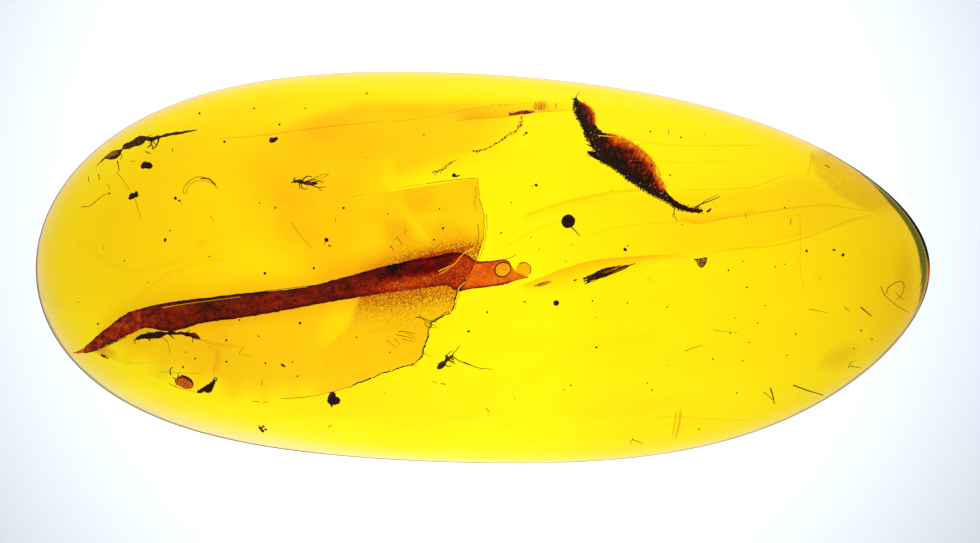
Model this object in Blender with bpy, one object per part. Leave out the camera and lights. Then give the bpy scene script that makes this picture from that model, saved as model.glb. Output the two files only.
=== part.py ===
"""A polished, egg-shaped piece of amber with a plant strip, a hairy leaf and five small animals sealed in it.

X runs along the stone, Z is up, and the origin is under the middle of the flat base. The design is in
millimetres, and finish() turns each mesh to metres. What lies in the amber is drawn where it is seen from
straight above, and under_dome() finds its true place, because the domed top bends the view.
"""

import math
import random

import bmesh
import bpy
import numpy as np
from mathutils import Matrix, Vector, noise

METRES_PER_MM = 0.001

# The stone's outline: an ellipse whose half width swells and tapers along the length
LENGTH = 54.0
HALF_WIDTH = 11.75
TIP_TAPER = -0.045
SHOULDERS = 0.212
TIP_DRAW = -0.110
END_DRAW = -0.132
BEND = 1.0
BEND_SKEW = 0.35

# The stone's section: a flat base, a thin rounded rim and a low dome
HEIGHT = 6.4
RIM_HEIGHT = 0.2
RIM_ROUND = 0.14
TIP_UNDERCUT_HEIGHT = 0.35
TIP_UNDERCUT = 0.55
DOME_SHOULDER = 0.3
RIM_FULLNESS = 0.06
TIP_FULLNESS = 0.22
BACK_FULLNESS = 0.10
LEFT_FULLNESS = 0.11
FRONT_FEATHER = 0.25
REFRACTIVE_INDEX = 1.54

SEGMENTS = 72
DOME_RINGS = (1.0, 0.99, 0.975, 0.95, 0.91, 0.85, 0.76, 0.64, 0.5, 0.34, 0.17)
RIM_STEPS = 3

# The stone is parted on this level, and each sealed piece lies clear of it by the clearance
PARTING = 0.7
PARTING_GAP = 0.1
CLEARANCE = 0.15
POCKET_WELD = 0.05

SEED = 20


def clear_scene():
    for thing in list(bpy.data.objects):
        bpy.data.objects.remove(thing, do_unlink=True)


def material(name, colour, roughness):
    made = bpy.data.materials.new(name)
    made.use_nodes = True
    shader = made.node_tree.nodes["Principled BSDF"]
    shader.inputs["Base Color"].default_value = (*colour, 1.0)
    shader.inputs["Roughness"].default_value = roughness
    return made


def bump(turn, middle, spread):
    """A smooth rise from 0 to 1 round the outline at the middle angle, in degrees."""
    away = (math.degrees(turn) - middle + 180) % 360 - 180
    return math.exp(-((away / spread) ** 2))


# ---- The stone's form ----


def across(x):
    """The outline's half width and its middle at x, before the outline is centred."""
    s = max(-1.0, min(1.0, x / (LENGTH / 2)))
    swell = 1 + TIP_TAPER * s + SHOULDERS * s**2 + TIP_DRAW * s**3 + END_DRAW * s**4
    return HALF_WIDTH * swell, -BEND * s * (1 - s * s) * (1 + BEND_SKEW * s)


def outline_offset():
    """How far the raw outline's box lies off the X axis."""
    sides = []
    for step in range(SEGMENTS):
        turn = math.tau * step / SEGMENTS
        half, middle = across(math.cos(turn) * LENGTH / 2)
        sides.append(middle + half * math.sin(turn))
    return (max(sides) + min(sides)) / 2


OFFSET = outline_offset()


def stone_point(rho, turn):
    """The point at this share of the way from the middle to the outline, in this direction."""
    x = rho * math.cos(turn) * LENGTH / 2
    half, middle = across(x)
    return x, middle - OFFSET + half * rho * math.sin(turn)


def rim_height(turn):
    return RIM_HEIGHT + TIP_UNDERCUT_HEIGHT * bump(turn, 12, 20)


def rim_round(turn):
    return RIM_ROUND + TIP_UNDERCUT * bump(turn, 12, 20)


def dome(rho, turn):
    """The height of the domed top. The rim is blunt at the tip and the back, and thin at the front left."""
    fullness = RIM_FULLNESS + TIP_FULLNESS * bump(turn, -10, 28) + BACK_FULLNESS * bump(turn, 88, 15)
    fullness += LEFT_FULLNESS * bump(turn, 158, 24) - FRONT_FEATHER * bump(turn, 238, 26)
    share = 1 - (1 - DOME_SHOULDER) * rho**2 - DOME_SHOULDER * rho**4 + fullness * (rho**4 - rho**14)
    low = rim_height(turn)
    return low + (HEIGHT - low) * share


def dome_height(x, y):
    half, middle = across(x)
    s = x / (LENGTH / 2)
    v = (y - middle + OFFSET) / half
    return dome(min(1.0, math.hypot(s, v)), math.atan2(v, s))


def under_dome(x, y, z):
    """The true place of what is seen at x, y from straight above, when it lies at height z."""
    height = dome_height(x, y)
    if z >= height:
        return Vector((x, y, z))
    step = 0.05
    slope_x = (dome_height(x + step, y) - dome_height(x - step, y)) / (2 * step)
    slope_y = (dome_height(x, y + step) - dome_height(x, y - step)) / (2 * step)
    normal = Vector((-slope_x, -slope_y, 1)).normalized()
    ratio = 1 / REFRACTIVE_INDEX
    cos_out = math.sqrt(1 - ratio**2 * (1 - normal.z**2))
    ray = Vector((0, 0, -ratio)) + normal * (ratio * normal.z - cos_out)
    reach = (height - z) / -ray.z
    return Vector((x + ray.x * reach, y + ray.y * reach, z))


# ---- Mesh helpers, all in millimetres ----


def new_object(name, bm):
    bmesh.ops.recalc_face_normals(bm, faces=bm.faces)
    mesh = bpy.data.meshes.new(name)
    bm.to_mesh(mesh)
    bm.free()
    made = bpy.data.objects.new(name, mesh)
    bpy.context.scene.collection.objects.link(made)
    return made


def join_rings(bm, rings):
    """Bridges each ring of vertices to the next."""
    for low, high in zip(rings, rings[1:]):
        count = len(low)
        for i in range(count):
            j = (i + 1) % count
            bm.faces.new((low[i], low[j], high[j], high[i]))


def close_ring(bm, ring, centre):
    tip = bm.verts.new(centre)
    for i, vert in enumerate(ring):
        bm.faces.new((vert, ring[(i + 1) % len(ring)], tip))


def sweep(stations, sides=6):
    """A closed body along stations of (x, y, z, half width, half height), pointed or blunt at its ends."""
    bm = bmesh.new()
    centres = [Vector(station[:3]) for station in stations]
    rings = []
    for i, station in enumerate(stations):
        along = (centres[min(i + 1, len(centres) - 1)] - centres[max(i - 1, 0)]).normalized()
        side = Vector((0, 0, 1)).cross(along).normalized()
        up = along.cross(side)
        ring = []
        for k in range(sides):
            angle = math.tau * (k + 0.5) / sides
            offset = side * station[3] * math.cos(angle) + up * station[4] * math.sin(angle)
            ring.append(bm.verts.new(under_dome(*(centres[i] + offset))))
        rings.append(ring)
    join_rings(bm, rings)
    for ring, end, inner in ((rings[0], 0, 1), (rings[-1], -1, -2)):
        reach = (centres[end] - centres[inner]).normalized() * stations[end][3]
        close_ring(bm, ring, under_dome(*(centres[end] + reach)))
    return new_object("body", bm)


def limb(points, radius, sides=4):
    """A thin leg, feeler or hair through the points, half as thick at its end."""
    widths = [radius * (1 - 0.5 * i / (len(points) - 1)) for i in range(len(points))]
    return sweep([(*point, width, width) for point, width in zip(points, widths)], sides)


def plate(points, z, thickness):
    """A flat plate on an outline, such as a wing or a chip."""
    bm = bmesh.new()
    low = [bm.verts.new(under_dome(x, y, z - thickness / 2)) for x, y in points]
    high = [bm.verts.new(under_dome(x, y, z + thickness / 2)) for x, y in points]
    join_rings(bm, [low, high])
    middle_x = sum(x for x, y in points) / len(points)
    middle_y = sum(y for x, y in points) / len(points)
    close_ring(bm, low, under_dome(middle_x, middle_y, z - thickness / 2))
    close_ring(bm, high, under_dome(middle_x, middle_y, z + thickness / 2))
    return new_object("plate", bm)


def wing(root, tip, width, z):
    """A paddle-shaped wing from its root to its tip."""
    root = Vector(root)
    along = Vector(tip) - root
    side = Vector((-along.y, along.x)).normalized() * width / 2
    half_shape = ((0.0, 0.12), (0.3, 0.75), (0.6, 1.0), (0.85, 0.75), (1.0, 0.2))
    outline = [root + along * share + side * wide for share, wide in half_shape]
    outline += [root + along * share - side * wide for share, wide in reversed(half_shape)]
    return plate([(p.x, p.y) for p in outline], z, 0.05)


def lump(centre, size, roughness, seed, level=2):
    """A pellet or grain: a ball of this (x, y, z) size, made uneven."""
    bm = bmesh.new()
    bmesh.ops.create_icosphere(bm, subdivisions=level, radius=1)
    for vert in bm.verts:
        push = 1 + roughness * noise.noise(vert.co * 1.7 + Vector((seed, 3 * seed, 0)))
        place = Vector(centre) + Vector([vert.co[i] * push * size[i] / 2 for i in range(3)])
        vert.co = under_dome(*place)
    return new_object("lump", bm)


def apply_modifiers(target):
    graph = bpy.context.evaluated_depsgraph_get()
    mesh = bpy.data.meshes.new_from_object(target.evaluated_get(graph))
    target.modifiers.clear()
    target.data = mesh


def boolean(target, tool, operation):
    change = target.modifiers.new(operation.lower(), "BOOLEAN")
    change.operation = operation
    change.solver = "EXACT"
    change.object = tool
    apply_modifiers(target)
    bpy.data.objects.remove(tool, do_unlink=True)


def fuse(pieces):
    """One closed body from pieces that overlap."""
    body, *others = pieces
    for other in others:
        boolean(body, other, "UNION")
    return body


# ---- What is sealed in the amber ----


def plant_strip():
    """A long flat strip of leaf, with a pointed tongue torn from its right end."""
    strip = sweep(
        [
            (-23.95, -4.80, 0.40, 0.14, 0.06),
            (-23.70, -4.66, 0.42, 0.28, 0.07),
            (-23.24, -4.38, 0.48, 0.56, 0.09),
            (-22.21, -3.71, 0.66, 0.66, 0.13),
            (-21.19, -3.23, 0.92, 0.70, 0.17),
            (-19.80, -2.87, 1.10, 0.75, 0.19),
            (-18.29, -2.78, 1.28, 0.77, 0.20),
            (-15.87, -2.51, 1.60, 0.68, 0.20),
            (-13.15, -2.11, 1.90, 0.63, 0.20),
            (-10.31, -1.69, 2.15, 0.58, 0.20),
            (-7.84, -1.09, 2.35, 0.63, 0.20),
            (-5.42, -0.66, 2.50, 0.74, 0.20),
            (-3.40, -0.40, 2.60, 0.84, 0.20),
            (-1.95, -0.45, 2.65, 0.86, 0.19),
            (-0.77, -0.50, 2.70, 0.72, 0.17),
            (0.44, -0.42, 2.72, 0.74, 0.15),
            (1.65, -0.25, 2.74, 0.62, 0.12),
            (2.43, -0.15, 2.75, 0.42, 0.10),
        ],
        sides=8,
    )
    tongue = sweep(
        [
            (-3.60, 0.10, 2.66, 0.40, 0.12),
            (-2.50, 0.55, 2.72, 0.38, 0.12),
            (-1.50, 0.98, 2.80, 0.26, 0.10),
            (-0.75, 1.25, 2.86, 0.10, 0.06),
        ]
    )
    return fuse([strip, tongue])


def curled_leaf():
    """A leaf curled along its length, with a hooked stalk and a short spur."""
    blade = sweep(
        [
            (5.55, 10.10, 1.00, 0.08, 0.06),
            (5.80, 9.78, 1.08, 0.34, 0.14),
            (6.14, 9.27, 1.22, 0.46, 0.20),
            (6.42, 8.67, 1.42, 0.46, 0.24),
            (6.78, 8.10, 1.62, 0.52, 0.28),
            (7.26, 7.46, 1.82, 0.72, 0.32),
            (7.99, 6.78, 2.02, 0.93, 0.36),
            (8.89, 6.12, 2.20, 0.97, 0.36),
            (9.68, 5.43, 2.32, 0.76, 0.32),
            (10.46, 4.74, 2.40, 0.48, 0.24),
            (11.19, 4.14, 2.45, 0.27, 0.18),
            (11.91, 3.74, 2.45, 0.18, 0.14),
            (12.64, 3.53, 2.45, 0.12, 0.11),
            (13.30, 3.41, 2.45, 0.08, 0.08),
            (13.76, 3.54, 2.45, 0.04, 0.04),
        ],
        sides=8,
    )
    spur = sweep(
        [
            (7.20, 7.08, 1.8, 0.28, 0.16),
            (6.72, 6.92, 1.75, 0.2, 0.12),
            (6.34, 6.80, 1.7, 0.06, 0.06),
        ]
    )
    return fuse([blade, spur])


def slender_wasp():
    body = sweep(
        [
            (-23.42, 6.01, 0.38, 0.03, 0.03),
            (-23.06, 6.37, 0.40, 0.05, 0.05),
            (-22.80, 6.55, 0.42, 0.08, 0.08),
            (-22.55, 6.62, 0.44, 0.18, 0.13),
            (-22.27, 6.75, 0.45, 0.22, 0.15),
            (-21.97, 6.92, 0.46, 0.16, 0.13),
            (-21.74, 7.08, 0.47, 0.06, 0.06),
            (-21.60, 7.20, 0.48, 0.15, 0.13),
            (-21.12, 7.42, 0.50, 0.17, 0.15),
            (-20.82, 7.61, 0.51, 0.21, 0.16),
            (-20.52, 7.75, 0.52, 0.20, 0.16),
            (-20.30, 7.79, 0.54, 0.11, 0.11),
            (-19.90, 7.83, 0.58, 0.11, 0.10),
            (-19.49, 7.90, 0.64, 0.09, 0.08),
            (-18.77, 8.05, 0.72, 0.06, 0.05),
            (-17.98, 8.20, 0.78, 0.05, 0.045),
            (-17.26, 8.32, 0.84, 0.025, 0.025),
        ],
        sides=8,
    )
    legs = [
        limb([(-19.95, 7.80, 0.61), (-20.00, 7.46, 0.56), (-20.24, 7.22, 0.52)], 0.06),
        limb([(-19.55, 7.86, 0.64), (-19.62, 7.50, 0.58), (-19.90, 7.12, 0.54)], 0.045),
    ]
    return fuse([body, *legs])


def midge():
    body = sweep(
        [
            (-11.02, 5.16, 3.30, 0.06, 0.06),
            (-10.92, 5.15, 3.32, 0.11, 0.11),
            (-10.76, 5.11, 3.34, 0.11, 0.12),
            (-10.62, 5.08, 3.34, 0.07, 0.07),
            (-10.45, 5.05, 3.32, 0.13, 0.11),
            (-10.26, 5.03, 3.30, 0.12, 0.10),
            (-10.10, 5.02, 3.28, 0.08, 0.07),
            (-9.98, 5.05, 3.26, 0.06, 0.05),
        ]
    )
    parts = [
        lump((-11.22, 5.20, 3.30), (0.20, 0.18, 0.18), 0.1, 1, level=1),
        limb([(-11.24, 5.20, 3.30), (-11.34, 5.30, 3.32), (-11.22, 5.40, 3.34)], 0.035),
        limb([(-11.24, 5.18, 3.30), (-11.40, 5.16, 3.32), (-11.48, 5.08, 3.34)], 0.035),
        limb([(-11.15, 5.19, 3.30), (-10.95, 5.16, 3.32)], 0.06),
        wing((-10.82, 5.14), (-9.35, 5.44), 0.36, 3.42),
        wing((-10.80, 5.10), (-9.30, 5.10), 0.34, 3.36),
        limb([(-10.86, 5.16, 3.33), (-10.55, 5.52, 3.25), (-10.14, 5.44, 3.10)], 0.03),
        limb([(-10.70, 5.10, 3.33), (-10.25, 5.28, 3.22), (-9.92, 5.38, 3.10)], 0.03),
        limb([(-10.90, 5.12, 3.32), (-11.04, 4.90, 3.20), (-10.98, 4.66, 3.10)], 0.03),
        limb([(-10.74, 5.08, 3.32), (-10.80, 4.80, 3.20), (-10.58, 4.72, 3.10)], 0.03),
        limb([(-10.50, 5.02, 3.30), (-10.15, 4.88, 3.20), (-9.60, 4.90, 3.15), (-9.12, 4.78, 3.10)], 0.03),
    ]
    return fuse([body, *parts])


def gnat():
    body = sweep(
        [
            (-2.74, -6.04, 2.30, 0.10, 0.10),
            (-2.62, -5.99, 2.30, 0.16, 0.15),
            (-2.46, -5.90, 2.32, 0.18, 0.17),
            (-2.30, -5.80, 2.34, 0.13, 0.13),
            (-2.20, -5.70, 2.36, 0.09, 0.09),
            (-2.10, -5.62, 2.38, 0.13, 0.13),
            (-1.98, -5.52, 2.38, 0.10, 0.10),
            (-1.88, -5.40, 2.36, 0.10, 0.10),
            (-1.80, -5.31, 2.34, 0.06, 0.06),
        ]
    )
    legs = [
        limb([(-2.14, -5.64, 2.36), (-2.22, -5.42, 2.28), (-2.30, -5.24, 2.22)], 0.045),
        limb([(-2.08, -5.62, 2.36), (-2.02, -5.76, 2.28), (-1.78, -5.72, 2.22)], 0.04),
        limb([(-2.40, -5.88, 2.33), (-2.58, -5.72, 2.28), (-2.68, -5.62, 2.24)], 0.03),
        limb([(-2.20, -5.72, 2.34), (-2.00, -5.98, 2.26), (-1.80, -5.98, 2.22)], 0.025),
        limb(
            [(-1.86, -5.36, 2.35), (-1.74, -5.16, 2.32), (-1.68, -5.40, 2.26), (-1.60, -5.50, 2.22)],
            0.03,
        ),
        limb([(-1.84, -5.36, 2.36), (-1.66, -5.12, 2.40), (-1.36, -4.76, 2.44)], 0.025),
        limb(
            [(-1.64, -5.46, 2.24), (-1.13, -5.76, 2.16), (-0.71, -5.94, 2.10), (0.30, -6.10, 2.05)],
            0.028,
        ),
    ]
    return fuse([body, *legs])


def slender_beetle():
    body = sweep(
        [
            (-21.00, -4.36, 1.50, 0.05, 0.05),
            (-20.76, -4.27, 1.50, 0.10, 0.09),
            (-20.40, -4.17, 1.52, 0.14, 0.12),
            (-20.04, -4.11, 1.54, 0.17, 0.14),
            (-19.68, -4.07, 1.56, 0.17, 0.15),
            (-19.31, -4.02, 1.58, 0.14, 0.13),
            (-19.01, -3.97, 1.60, 0.09, 0.09),
            (-18.65, -3.96, 1.62, 0.09, 0.09),
            (-18.35, -3.96, 1.64, 0.08, 0.08),
            (-18.04, -4.01, 1.66, 0.12, 0.11),
            (-17.74, -4.04, 1.68, 0.13, 0.12),
            (-17.44, -4.12, 1.70, 0.12, 0.10),
            (-17.20, -4.24, 1.70, 0.08, 0.07),
            (-17.02, -4.35, 1.70, 0.05, 0.05),
        ]
    )
    legs = [
        limb([(-18.95, -3.98, 1.60), (-18.80, -4.16, 1.52), (-18.66, -4.28, 1.46)], 0.05),
        limb([(-17.58, -4.08, 1.68), (-17.50, -4.32, 1.60), (-17.54, -4.50, 1.54)], 0.04),
        limb([(-20.92, -4.32, 1.50), (-21.00, -4.46, 1.48), (-20.92, -4.58, 1.46)], 0.035),
        limb([(-20.10, -4.14, 1.54), (-20.14, -4.32, 1.46), (-20.04, -4.42, 1.44)], 0.05),
        limb([(-17.76, -4.00, 1.68), (-17.70, -3.86, 1.62), (-17.58, -3.80, 1.58)], 0.04),
        limb([(-18.10, -3.98, 1.65), (-18.20, -3.84, 1.60)], 0.035),
    ]
    return fuse([body, *legs])


def mite():
    """A domed, ribbed body on short legs."""
    body = sweep(
        [
            (-18.52, -6.80, 0.92, 0.08, 0.10),
            (-18.44, -6.86, 0.95, 0.24, 0.16),
            (-18.30, -6.92, 0.98, 0.26, 0.20),
            (-18.22, -6.96, 0.98, 0.34, 0.22),
            (-18.06, -7.02, 1.00, 0.34, 0.23),
            (-17.98, -7.05, 1.00, 0.37, 0.24),
            (-17.84, -7.10, 0.99, 0.30, 0.21),
            (-17.76, -7.13, 0.98, 0.28, 0.19),
            (-17.62, -7.18, 0.95, 0.14, 0.13),
        ],
        sides=8,
    )
    legs = [
        limb([(-18.38, -6.84, 0.96), (-18.42, -6.56, 0.92), (-18.62, -6.50, 0.88)], 0.035),
        limb([(-18.46, -6.88, 0.92), (-18.78, -6.92, 0.86), (-18.95, -6.92, 0.84)], 0.025),
        limb([(-17.70, -7.26, 0.92), (-17.50, -7.36, 0.86), (-17.36, -7.44, 0.84)], 0.03),
    ]
    return fuse([body, *legs])


def leaf_chip():
    """A dark three-cornered chip with a small ring on its upper tip."""
    chip = plate(
        [
            (-17.26, -7.45),
            (-17.10, -7.22),
            (-16.92, -7.14),
            (-16.78, -6.98),
            (-16.56, -6.88),
            (-16.40, -6.72),
            (-16.28, -6.76),
            (-16.30, -7.00),
            (-16.26, -7.18),
            (-16.34, -7.42),
            (-16.62, -7.46),
            (-16.74, -7.58),
            (-16.84, -7.46),
        ],
        0.98,
        0.22,
    )
    ring = lump((-16.24, -6.72, 0.98), (0.26, 0.26, 0.2), 0.05, 2, level=1)
    return fuse([chip, ring])


def fibrous(stations, strands, seed):
    """A splinter of bark: a flat core with a few strands that stand out past its ends."""
    draw = random.Random(seed)
    core = sweep(stations)
    pieces = [core]
    for _ in range(strands):
        k = draw.randint(1, len(stations) - 3)
        shift = draw.uniform(-0.7, 0.7)
        run = []
        for station in stations[k : k + 3]:
            x, y, z, half_width, half_height = station
            run.append((x + 0.1 * shift, y + shift * half_width, z + 0.5 * half_height))
        pieces.append(limb(run, 0.5 * stations[k][4]))
    return fuse(pieces)


def bark_splinter():
    return fibrous(
        [
            (6.06, -0.86, 2.70, 0.05, 0.04),
            (6.48, -0.66, 2.70, 0.17, 0.09),
            (6.96, -0.45, 2.72, 0.21, 0.11),
            (7.44, -0.26, 2.74, 0.21, 0.11),
            (7.99, -0.12, 2.76, 0.17, 0.10),
            (8.59, 0.06, 2.76, 0.12, 0.08),
            (9.20, 0.24, 2.76, 0.03, 0.03),
        ],
        strands=3,
        seed=SEED,
    )


def bark_sliver():
    return sweep(
        [
            (3.10, -1.12, 2.6, 0.04, 0.04),
            (3.46, -1.03, 2.6, 0.10, 0.07),
            (3.82, -0.94, 2.6, 0.09, 0.07),
            (4.12, -0.86, 2.6, 0.03, 0.03),
        ]
    )


def dark_debris():
    """A ragged lump with a tooth below and a notch above."""
    return fuse(
        [
            lump((-9.02, -7.90, 1.75), (0.62, 0.50, 0.36), 0.5, 3),
            lump((-9.12, -8.16, 1.72), (0.34, 0.36, 0.26), 0.4, 4, level=1),
            lump((-8.84, -7.78, 1.78), (0.30, 0.34, 0.28), 0.4, 5, level=1),
        ]
    )


def cup_seed():
    """A small seed coat, open on its upper side like a cup."""
    seed = lump((13.16, 0.27, 2.35), (0.66, 0.54, 0.42), 0.12, 6)
    hollow = lump((13.18, 0.33, 2.60), (0.36, 0.30, 0.34), 0.0, 0)
    boolean(seed, hollow, "DIFFERENCE")
    return seed


def crescent_flake():
    return sweep(
        [
            (-18.02, 4.55, 1.85, 0.03, 0.03),
            (-17.98, 4.82, 1.88, 0.07, 0.03),
            (-17.68, 5.16, 1.92, 0.11, 0.03),
            (-17.26, 5.38, 1.95, 0.13, 0.03),
            (-16.88, 5.40, 1.97, 0.14, 0.03),
            (-16.41, 5.22, 1.97, 0.11, 0.03),
            (-16.11, 4.98, 1.95, 0.07, 0.03),
            (-15.93, 4.73, 1.92, 0.03, 0.03),
        ]
    )


def fibre_long():
    return sweep(
        [
            (-0.59, 6.98, 2.4, 0.03, 0.03),
            (0.14, 7.22, 2.4, 0.06, 0.04),
            (0.86, 7.55, 2.4, 0.07, 0.04),
            (1.59, 7.94, 2.35, 0.08, 0.04),
            (2.01, 8.24, 2.3, 0.07, 0.04),
            (2.31, 8.55, 2.25, 0.03, 0.03),
        ],
        sides=4,
    )


def fibre_short():
    return sweep(
        [
            (-3.0, 5.77, 2.6, 0.03, 0.03),
            (-2.58, 5.95, 2.6, 0.08, 0.04),
            (-2.04, 6.25, 2.6, 0.03, 0.03),
        ],
        sides=4,
    )


def bark_fleck():
    return sweep(
        [
            (1.53, 9.27, 1.5, 0.04, 0.04),
            (2.01, 9.32, 1.5, 0.12, 0.05),
            (2.49, 9.39, 1.5, 0.11, 0.05),
            (2.97, 9.46, 1.5, 0.04, 0.04),
        ],
        sides=4,
    )


def round_pellet():
    return lump((5.15, 2.78, 2.9), (0.80, 0.80, 0.78), 0.08, 7)


def small_pellet():
    return lump((4.42, -2.14, 2.6), (0.36, 0.36, 0.34), 0.08, 8, level=1)


def domed_pellet():
    return lump((-20.28, 6.19, 1.05), (0.68, 0.46, 0.44), 0.2, 9)


def rough_pellet():
    return lump((-21.06, 4.32, 1.15), (0.62, 0.46, 0.40), 0.6, 10)


def notched_pellet():
    return fuse(
        [
            lump((-12.66, 7.66, 1.9), (0.44, 0.36, 0.34), 0.3, 11),
            lump((-12.46, 7.78, 1.9), (0.24, 0.26, 0.24), 0.2, 12, level=1),
        ]
    )


# ---- The stone and its pockets ----


def stone(name):
    """The whole stone, closed: its dome, its rounded rim and its flat base."""
    bm = bmesh.new()
    turns = [math.tau * i / SEGMENTS for i in range(SEGMENTS)]
    rings = [
        [bm.verts.new((*stone_point(rho, turn), dome(rho, turn))) for turn in turns]
        for rho in reversed(DOME_RINGS)
    ]
    girdle = [Vector(stone_point(1.0, turn)) for turn in turns]
    for step in range(1, RIM_STEPS + 1):
        angle = math.radians(90 * step / RIM_STEPS)
        ring = []
        for i, turn in enumerate(turns):
            along = (girdle[(i + 1) % SEGMENTS] - girdle[i - 1]).normalized()
            inward = Vector((-along.y, along.x))
            place = girdle[i] + inward * rim_round(turn) * (1 - math.cos(angle))
            ring.append(bm.verts.new((place.x, place.y, rim_height(turn) * (1 - math.sin(angle)))))
        rings.append(ring)
    join_rings(bm, rings)
    close_ring(bm, rings[0], (0, stone_point(0, 0)[1], HEIGHT))
    close_ring(bm, rings[-1], (0, 0, 0))
    return new_object(name, bm)


def half_stone(name, level, keep_above):
    """The part of the stone on one side of a level, with a flat face there."""
    half = stone(name)
    bm = bmesh.new()
    bm.from_mesh(half.data)
    everything = bm.verts[:] + bm.edges[:] + bm.faces[:]
    cut = bmesh.ops.bisect_plane(
        bm,
        geom=everything,
        plane_co=(0, 0, level),
        plane_no=(0, 0, 1),
        dist=1e-5,
        clear_inner=keep_above,
        clear_outer=not keep_above,
    )
    edges = [part for part in cut["geom_cut"] if isinstance(part, bmesh.types.BMEdge)]
    bmesh.ops.edgeloop_fill(bm, edges=edges)
    bmesh.ops.recalc_face_normals(bm, faces=bm.faces)
    bm.to_mesh(half.data)
    bm.free()
    return half


def pocket(piece, slices):
    """The room round a sealed piece: the hull of a box round each slice of its length."""
    ends = np.array([[piece.data.vertices[i].co for i in edge.vertices] for edge in piece.data.edges])
    shares = np.linspace(0, 1, 5)
    points = np.concatenate([ends[:, 0] * (1 - share) + ends[:, 1] * share for share in shares])
    flat = points[:, :2] - points[:, :2].mean(axis=0)
    along = np.linalg.eigh(flat.T @ flat)[1][:, 1]
    side = np.array((-along[1], along[0]))
    run, out = points[:, :2] @ along, points[:, :2] @ side
    edges = np.linspace(run.min(), run.max(), slices + 1)
    overlap = 0.25 * (edges[1] - edges[0]) if slices > 1 else 0.0
    bm = bmesh.new()
    for low, high in zip(edges, edges[1:]):
        inside = (run >= low - overlap - 1e-6) & (run <= high + overlap + 1e-6)
        low_z = points[inside, 2].min() - CLEARANCE
        high_z = points[inside, 2].max() + CLEARANCE
        if low_z > PARTING - PARTING_GAP:
            low_z = PARTING
        for reach in (low - CLEARANCE, high + CLEARANCE):
            for width in (out[inside].min() - CLEARANCE, out[inside].max() + CLEARANCE):
                x, y = reach * along + width * side
                bm.verts.new((x, y, low_z))
                bm.verts.new((x, y, high_z))
    bmesh.ops.remove_doubles(bm, verts=bm.verts, dist=POCKET_WELD)
    hull = bmesh.ops.convex_hull(bm, input=bm.verts)
    loose = [part for part in hull["geom_interior"] if isinstance(part, bmesh.types.BMVert)]
    bmesh.ops.delete(bm, geom=loose, context="VERTS")
    bmesh.ops.dissolve_limit(bm, angle_limit=math.radians(2), verts=bm.verts, edges=bm.edges)
    bmesh.ops.triangulate(bm, faces=bm.faces)
    return new_object("pocket", bm)


def duplicate(thing):
    copy = thing.copy()
    copy.data = thing.data.copy()
    bpy.context.scene.collection.objects.link(copy)
    return copy


def finish(piece, name, look):
    """Names the piece, gives it its material and turns its mesh to metres."""
    piece.name = name
    piece.data.name = name
    piece.data.transform(Matrix.Scale(METRES_PER_MM, 4))
    piece.data.materials.clear()
    piece.data.materials.append(look)
    piece.data.shade_smooth()
    piece.data.set_sharp_from_angle(angle=math.radians(50))


def main():
    clear_scene()
    resin = material("clear yellow amber", (0.98, 0.72, 0.03), 0.08)
    red_plant = material("red-brown plant tissue", (0.12, 0.02, 0.005), 0.6)
    dark_plant = material("dark plant tissue", (0.05, 0.015, 0.005), 0.7)
    chitin = material("dark chitin", (0.03, 0.012, 0.006), 0.45)
    red_chitin = material("red-brown chitin", (0.25, 0.05, 0.01), 0.4)
    pale_plant = material("pale plant fibre", (0.35, 0.16, 0.04), 0.7)

    sealed = (
        ("plant_strip", plant_strip, red_plant, 30),
        ("curled_leaf", curled_leaf, dark_plant, 12),
        ("slender_wasp", slender_wasp, chitin, 30),
        ("midge", midge, chitin, 1),
        ("gnat", gnat, chitin, 1),
        ("slender_beetle", slender_beetle, chitin, 2),
        ("mite", mite, red_chitin, 1),
        ("leaf_chip", leaf_chip, dark_plant, 1),
        ("dark_debris", dark_debris, dark_plant, 1),
        ("round_pellet", round_pellet, dark_plant, 1),
        ("small_pellet", small_pellet, dark_plant, 1),
        ("domed_pellet", domed_pellet, dark_plant, 1),
        ("rough_pellet", rough_pellet, dark_plant, 1),
        ("notched_pellet", notched_pellet, dark_plant, 1),
        ("bark_splinter", bark_splinter, dark_plant, 2),
        ("bark_sliver", bark_sliver, pale_plant, 1),
        ("cup_seed", cup_seed, pale_plant, 1),
        ("crescent_flake", crescent_flake, pale_plant, 1),
        ("fibre_long", fibre_long, pale_plant, 2),
        ("fibre_short", fibre_short, pale_plant, 1),
        ("bark_fleck", bark_fleck, red_plant, 1),
    )
    upper = half_stone("amber_upper", PARTING + PARTING_GAP / 2, True)
    lower = half_stone("amber_lower", PARTING - PARTING_GAP / 2, False)
    for name, make, look, slices in sealed:
        piece = make()
        room = pocket(piece, slices)
        if min(vert.co.z for vert in room.data.vertices) < PARTING - PARTING_GAP / 2:
            boolean(lower, duplicate(room), "DIFFERENCE")
        boolean(upper, room, "DIFFERENCE")
        finish(piece, name, look)
    finish(upper, "amber_upper", resin)
    finish(lower, "amber_lower", resin)


main()
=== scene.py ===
"""Looks for a polished piece of amber with a plant strip, a hairy leaf and small animals sealed in it.

Shapes are drawn in millimetres. What lies in the amber is drawn where it is seen from straight above, and
settle() moves it to its true place under the domed top.
"""

import math
import random

import bpy
import numpy as np
from mathutils import Matrix, Vector, noise


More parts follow.
